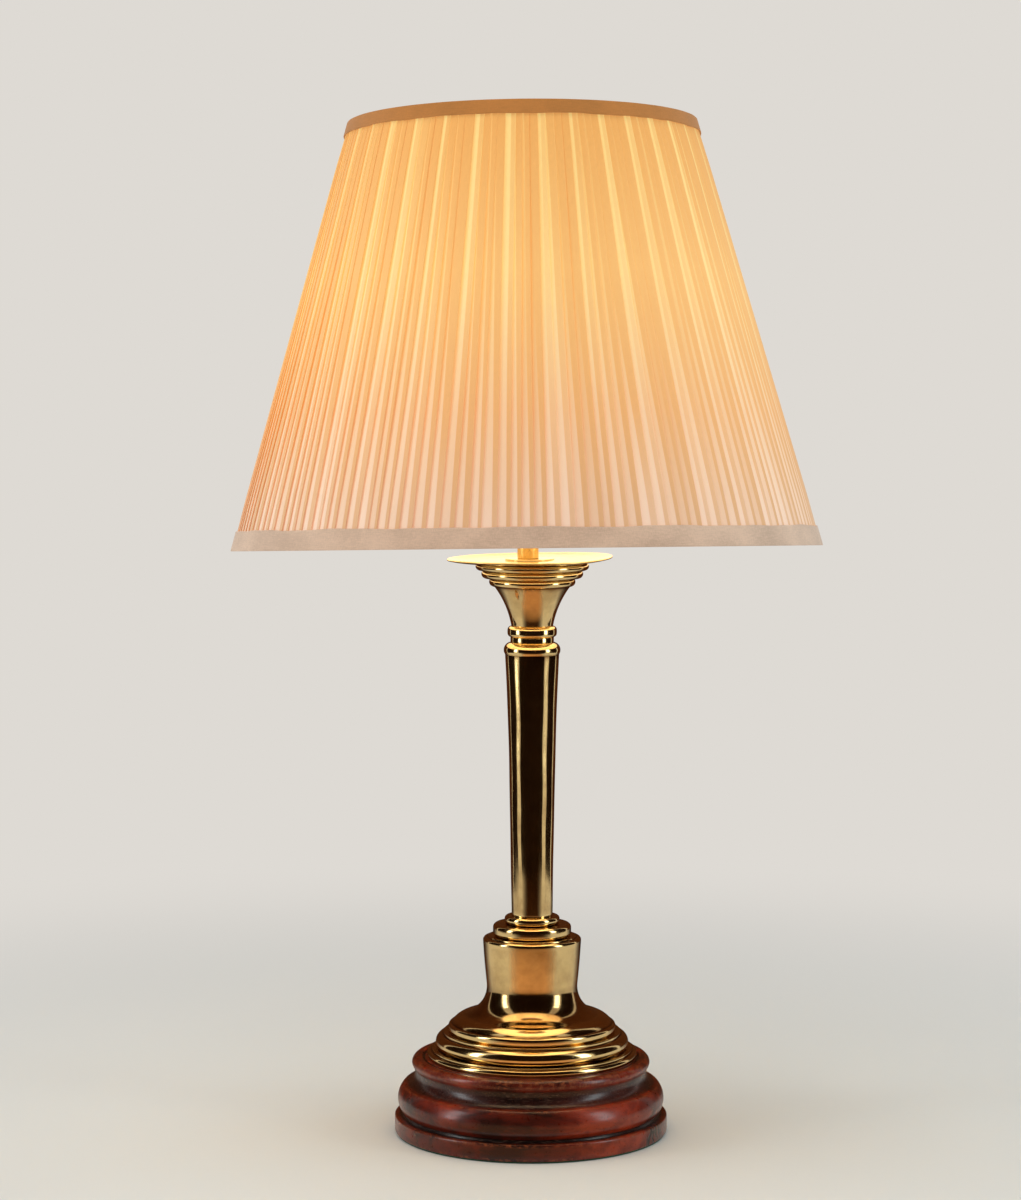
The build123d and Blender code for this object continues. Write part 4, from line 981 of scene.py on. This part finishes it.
class LAMP_OT_shade_cover(bpy.types.Operator):
    """Pleated silk cover of the shade"""
    bl_idname = "lamp.shade_cover"
    bl_label = "Shade Cover"

    def execute(self, context):
        sizes, tones = context.scene.lamp_shade, context.scene.lamp_finishes
        cone = Cone(sizes)
        up, angle, inset, layers = pleat_grid(sizes, cone)
        low, high = COVER_SHORT, cone.height - COVER_SHORT
        height = (low + (high - low) * up)[:, None]
        points = cone.carried(angle, height, inset)
        silk = silk_material("Pleated pongee silk", tones)
        cover = surface("pleated_cover", points, silk, "shade",
                        [("height", up[:, None]), ("layers", layers)], close_rows=False, node=["shade_cover"])
        thicken = cover.modifiers.new("cloth", "SOLIDIFY")
        thicken.thickness, thicken.offset, thicken.use_even_offset = sizes.cloth, -1.0, False
        return {"FINISHED"}


class LAMP_OT_shade_lining(bpy.types.Operator):
    """Plain lining, drawn in between the struts"""
    bl_idname = "lamp.shade_lining"
    bl_label = "Shade Lining"

    def execute(self, context):
        sizes, tones = context.scene.lamp_shade, context.scene.lamp_finishes
        cone = Cone(sizes)
        cloth = cloth_material("Lining silk", tones.lining, tones.lining_glow, 0.85, 0.6)
        low, high = LINING_SHORT, cone.height - LINING_SHORT
        height = np.linspace(low, high, 24)[:, None]
        angle = 2 * np.pi * np.arange(COLUMNS)[None, :] / COLUMNS
        bow = np.sin((angle - sizes.first_strut) * sizes.struts / 2) ** 2
        inset = sizes.lining_inset + sizes.lining_sag * bow * np.sin(np.pi * height / cone.height)
        lining = surface("silk_lining", cone.carried(angle, height, inset), cloth, "shade",
                         close_rows=False, node=["shade_lining"])
        thicken = lining.modifiers.new("cloth", "SOLIDIFY")
        thicken.thickness, thicken.offset = LINING_CLOTH, -1.0
        return {"FINISHED"}


def binding_piece(name, sizes, cone, tall, at_top, material, node):
    """A binding folded over the shade's edge: its section is a hollow square bracket of two layers of
    silk, with round turns, carried round the cone. It is slightly puckered: its outer leg's free edge
    rises and falls by a few slow waves of the angle."""
    wall, width, leg = sizes.binding, sizes.edge_width, sizes.inner_leg
    section = outline((0, tall), (0, 0), (width, 0), (width, leg), (width - wall, leg), (width - wall, wall),
                      (wall, wall), (wall, tall))
    rows, _ = softened(section, 0.28 * MM, step=1.2 * MM, bend=math.radians(12))
    rows = rows[::-1] if not at_top else rows
    inset, rise = rows.real[:, None], rows.imag[:, None]
    angle = 2 * np.pi * np.arange(COLUMNS)[None, :] / COLUMNS
    wave = np.sin(11 * angle + 0.4) + np.sin(17 * angle + 2) + 0.6 * np.sin(41 * angle)
    rise = rise * (1 + 0.018 * wave * (inset < width / 2))
    inset = inset + 0.05 * MM * (1 + np.sin(29 * angle + 60 * rise / tall)) * (inset < width / 2)
    height = cone.height - rise if at_top else rise
    piece = surface(name, cone.carried(angle, height, inset), material, "shade", node=[node])
    radius = cone.radius(cone.height if at_top else 0) - width / 2
    return piece


class LAMP_OT_shade_bindings(bpy.types.Operator):
    """Bias bindings over the two edges of the shade"""
    bl_idname = "lamp.shade_bindings"
    bl_label = "Shade Bindings"

    def execute(self, context):
        sizes, tones = context.scene.lamp_shade, context.scene.lamp_finishes
        cone = Cone(sizes)
        pale = cloth_material("Bias binding", tones.binding, tones.fold_low, 0.35, 0.5)
        # painted glow: the top binding's amber colour stands in for the bulb's light through it
        yellowed = cloth_material("Heat-yellowed binding", tones.top_binding, tones.fold_top, 0.4, 0.5)
        binding_piece("bottom_binding", sizes, cone, sizes.low_binding, False, pale, "bottom_trim")
        binding_piece("top_binding", sizes, cone, sizes.top_binding, True, yellowed, "top_trim")
        return {"FINISHED"}


# ---------------------------------------------------------------- finishes of the CAD nodes that stay
# name, colour, metallic, roughness, grain in millimetres, relief, and the nodes that the finish is on
PLAIN_FINISHES = [
    ("Zinc-plated steel", "#A9ABA8", 1.0, 0.34, 0.8, 0.2,
     ["rod_washer", "rod_nut", "threaded_rod", "earth_tag", "terminal_screws", "holder_terminals",
      "centre_contact"]),
    ("White powder-coated wire", "#DDD6C8", 0.0, 0.45, 0.6, 0.25,
     ["shade_top_ring", "shade_bottom_ring", "shade_struts"]),
    ("Green baize felt", "#2F4A34", 0.0, 0.95, 0.5, 0.9, ["base_felt"]),
    ("Brown moulded bakelite", "#2A1710", 0.0, 0.3, 1.5, 0.06,
     ["cord_inlet_bushing", "lower_clamp_ring", "upper_clamp_ring", "switch_bar", "holder_sleeve"]),
    ("Glazed porcelain", "#EDEAE2", 0.0, 0.22, 2.0, 0.05,
     ["terminal_block", "holder_core", "bulb_insulator"]),
    ("Nickel-plated brass", "#C9C4B8", 1.0, 0.24, 0.9, 0.1, ["screw_liner", "bulb_cap", "bulb_contact"]),
    ("Brown insulated wire", "#5A3220", 0.0, 0.4, 0.7, 0.1, ["live_wire"]),
    ("Blue insulated wire", "#2C5E9E", 0.0, 0.4, 0.7, 0.1, ["neutral_wire"]),
    ("Green insulated wire", "#3E8A3C", 0.0, 0.4, 0.7, 0.1, ["earth_wire"]),
    ("Lead glass", "#DDE4E2", 0.0, 0.12, 2.0, 0.02, ["bulb_stem"]),
    ("Tungsten wire", "#8E8A84", 1.0, 0.35, 0.4, 0.1, ["filament"]),
]
BRASS_FITTINGS = ["holder_cap", "holder_skirt", "carrier_seat", "carrier_wires", "carrier_head",
                  "gimbal_fitting", "head_nut", "gimbal_arms", "pivot_pins"]


def dress(names, material):
    """Gives CAD nodes' objects one material."""
    for name in names:
        slots = NODES[name].material_slots
        for place in slots:
            place.link = "OBJECT"
            place.material = material
        if not slots:
            NODES[name].data.materials.append(material)


class LAMP_OT_hardware(bpy.types.Operator):
    """Finishes of the lampholder, carrier, gimbal, shade wires and inner parts"""
    bl_idname = "lamp.hardware"
    bl_label = "Hardware Finishes"

    def execute(self, context):
        tones = context.scene.lamp_finishes
        dress(BRASS_FITTINGS, brass_material("Lacquered lampholder brass", tones.bright_brass, tones.brass,
                                             0.4, 0.2, BUFFED_LIGHTLY, 0.12))
        for *look, names in PLAIN_FINISHES:
            dress(names, plain_material(*look))
        return {"FINISHED"}


class LAMP_OT_bulb(bpy.types.Operator):
    """Lit opal glass of the bulb"""
    bl_idname = "lamp.bulb"
    bl_label = "Lit Bulb"

    def execute(self, context):
        tones = context.scene.lamp_finishes
        dress(["bulb_glass"], plain_material("Lit opal glass", "#F4EEE2", 0.0, 0.25, 3.0, 0.02,
                                             Emission_Color=rgba(tones.bulb), Emission_Strength=12.0))
        return {"FINISHED"}


# ---------------------------------------------------------------- stage
FLOOR_RADIUS, FLOOR_SIDES = 6.0, 96
AIM = (0, 0, 0.33)                  # what the lamps point at: the middle of the lamp, a little up
LIGHT_DISTANCE = 1.5
# name, plan angle from the front, width, power, tint; strips draw the brass, sides light the lamp but aren't
# mirrored
LIGHTS = [("strip_right", 65, 0.36, 6, (0.78, 0.95, 1.0)), ("strip_left", -72, 0.3, 6, (0.85, 0.96, 1.0)),
          ("side_right", 100, 0.9, 5, (0.4, 0.74, 1.0)), ("side_left", -100, 0.9, 3.5, (0.5, 0.8, 1.0))]
CARD_DISTANCE = 0.75                # cards that only reflections see, from the axis
CARD_HEIGHT = 2.0
APRON_START = 0.09
APRON_LIFT = 0.3 * MM
# name, plan angle from the front and width in degrees, and whether it is brown
FLAGS = [("flag_front", -3, 114, False), ("flag_right", 97, 42, False), ("flag_left", -101, 40, False),
         ("flag_back", 180, 110, True)]
EYE = (-0.0123, -1.805, 0.4515)     # the photograph's camera, with the floor at z = 0
PITCH = 85.35                       # degrees up from straight down
LENS = 96                           # millimetres, on a sensor 36 wide


def panel(name, width, height, place, power, tint, mirrored):
    """Soft rectangular lamp that isn't seen itself, except in reflections where it is mirrored."""
    lamp = bpy.data.lights.new(name, "AREA")
    lamp.shape, lamp.size, lamp.size_y = "RECTANGLE", width, height
    lamp.energy, lamp.color = power, tint
    holder = joined(name, lamp)
    holder.location = place
    holder.rotation_euler = (Vector(place) - Vector(AIM)).to_track_quat("Z", "Y").to_euler()
    holder.visible_camera, holder.visible_glossy = False, mirrored


def card(name, angle, width, count, edges, material, upwards):
    """A card that nothing but reflections sees, bent along a circle at a plan angle from the front.
    Its two edges are pairs of radius and height, and it turns its face upwards or to the lamp."""
    turns = np.radians(angle - 90) + np.radians(np.linspace(-width / 2, width / 2, count))
    rims = [polar(radius, turns, height) for radius, height in edges]
    faces = [(k, k + 1, count + k + 1, count + k)[::-1 if upwards else 1] for k in range(count - 1)]
    mesh = bpy.data.meshes.new(name)
    mesh.from_pydata(np.concatenate(rims).tolist(), [], faces)
    mesh.materials.append(material)
    piece = joined(name, mesh)
    piece.visible_camera = piece.visible_diffuse = piece.visible_shadow = piece.visible_transmission = False


def fading_card(code):
    """Matt card that thins out to nothing at its two sides: its cover falls with |x / y|.
    It darkens away from the lamp, past the pool of its light."""
    material, tree, shader = begin("Fading card")
    place = add(tree, "TexCoord").outputs["Object"]
    spot = add(tree, "SeparateXYZ", [place]).outputs
    ratio = add(tree, "Math", [spot["X"], spot["Y"]], operation="DIVIDE")
    ratio = add(tree, "Math", [ratio], operation="ABSOLUTE")
    cover = add(tree, "MapRange", [ratio, 0.45, 1.9, 1.0, 0.0], interpolation_type="SMOOTHSTEP")
    far = add(tree, "MapRange", [add(tree, "VectorMath", [place], operation="LENGTH"), 0.26, 0.5])
    tone = add(tree, "Mix", {0: far, 6: linear(code), 7: linear("#3A2212")}, data_type="RGBA")
    finish(tree, shader, Base_Color=tone, Roughness=1.0, Specular_IOR_Level=0.0, Alpha=cover)
    return material


def floor_material(paper):
    """Matt paper, which fades into the even background with distance from the lamp."""
    material, tree, shader = begin("Matt paper")
    away = add(tree, "VectorMath", [add(tree, "TexCoord").outputs["Object"]], operation="LENGTH")
    fade = add(tree, "MapRange", [away, 0.2, 0.95], interpolation_type="SMOOTHSTEP")
    finish(tree, shader, Base_Color=rgba(paper), Roughness=0.95, Specular_IOR_Level=0.1)
    even = add(tree, "Emission", [rgba(paper), 1.0])
    feed(tree, tree.nodes["Material Output"], {"Surface": add(tree, "MixShader", [fade, shader, even])})
    return material


class LAMP_OT_stage(bpy.types.Operator):
    """Pale floor, soft studio light and the camera"""
    bl_idname = "lamp.stage"
    bl_label = "Stage"

    def execute(self, context):
        scene, paper = context.scene, context.scene.lamp_finishes.paper
        mesh = bpy.data.meshes.new("floor")
        angle = 2 * np.pi * np.arange(FLOOR_SIDES) / FLOOR_SIDES
        mesh.from_pydata(polar(FLOOR_RADIUS, angle, 0).tolist(), [], [tuple(range(FLOOR_SIDES))])
        mesh.materials.append(floor_material(paper))
        joined("floor", mesh)
        self.light()
        self.world(scene, paper)
        self.camera(scene)
        scene.view_settings.view_transform = "Standard"
        return {"FINISHED"}

    @staticmethod
    def light():
        """Lamps, and the dark and brown cards that the brass mirrors."""
        for name, turn, width, power, tint in LIGHTS:
            way, strip = math.radians(turn - 90), name.startswith("strip")
            place = (LIGHT_DISTANCE * math.cos(way), LIGHT_DISTANCE * math.sin(way), 0.55 if strip else 0.8)
            panel(name, width, 1.2 if strip else 0.8, place, power, tint, strip)
        panel("top", 1.0, 1.0, (-0.2, -0.3, 1.8), 10, (1.0, 0.96, 0.9), False)
        cards = matt_material("Dark card", linear("#24160E")), matt_material("Brown card", linear("#54301A"))
        wall = ((CARD_DISTANCE, 0.0), (CARD_DISTANCE, CARD_HEIGHT))
        for name, turn, width, brown in FLAGS:
            card(name, turn, width, 12, wall, cards[brown], False)
        ground = ((APRON_START, APRON_LIFT), (CARD_DISTANCE, APRON_LIFT))
        card("apron_front", -3, 128, 24, ground, fading_card("#DDAA80"), True)
        card("apron_back", 180, 120, 24, ground, fading_card("#6A4024"), True)

    @staticmethod
    def world(scene, paper):
        """Even pale light, with the plain background where it is seen or mirrored."""
        world = bpy.data.worlds.new("Pale room")
        scene.world = world
        world.use_nodes = True
        tree = world.node_tree
        rays = add(tree, "LightPath").outputs
        seen = add(tree, "Math", [rays["Is Camera Ray"], rays["Is Glossy Ray"]], operation="MAXIMUM")
        seen = add(tree, "Math", [seen, rays["Is Transmission Ray"]], operation="MAXIMUM")
        light = add(tree, "Background", [(1.0, 0.98, 0.95, 1.0), 0.42])
        pale = add(tree, "Background", [rgba(paper), 1.0])
        feed(tree, tree.nodes["World Output"], {"Surface": add(tree, "MixShader", [seen, light, pale])})

    @staticmethod
    def camera(scene):
        """The camera at the photograph's viewing angle, looking a little down."""
        data = bpy.data.cameras.new("camera")
        data.lens, data.sensor_width = LENS, 36
        camera = joined("camera", data)
        camera.location = EYE
        camera.rotation_euler = (math.radians(PITCH), 0, 0)
        scene.camera = camera


# ---------------------------------------------------------------- add-on
GROUPS = {"lamp_wood": WoodSizes, "lamp_foot": FootSizes, "lamp_stem": StemSizes, "lamp_cup": CupSizes,
          "lamp_shade": ShadeSizes, "lamp_finishes": Finishes}
OPERATORS = [LAMP_OT_wood_base, LAMP_OT_brass_foot, LAMP_OT_stem, LAMP_OT_cup, LAMP_OT_shade_cover,
             LAMP_OT_shade_lining, LAMP_OT_shade_bindings, LAMP_OT_hardware, LAMP_OT_bulb, LAMP_OT_stage]


class LAMP_PT_panel(bpy.types.Panel):
    """The lamp's pieces, in the sidebar"""
    bl_label = "Candlestick Lamp"
    bl_idname = "LAMP_PT_panel"
    bl_space_type = "VIEW_3D"
    bl_region_type = "UI"
    bl_category = "Lamp"

    def draw(self, context):
        for operator in OPERATORS:
            self.layout.operator(operator.bl_idname)


def register():
    for group in GROUPS.values():
        bpy.utils.register_class(group)
    for name, group in GROUPS.items():
        setattr(bpy.types.Scene, name, PointerProperty(type=group))
    for item in OPERATORS + [LAMP_PT_panel]:
        bpy.utils.register_class(item)


def unregister():
    for item in [LAMP_PT_panel] + OPERATORS[::-1]:
        bpy.utils.unregister_class(item)
    for name in GROUPS:
        delattr(bpy.types.Scene, name)
    for group in GROUPS.values():
        bpy.utils.unregister_class(group)


def main():
    register()
    for operator in OPERATORS:
        getattr(bpy.ops.lamp, operator.bl_idname.split(".")[1])()


if __name__ == "__main__":
    main()
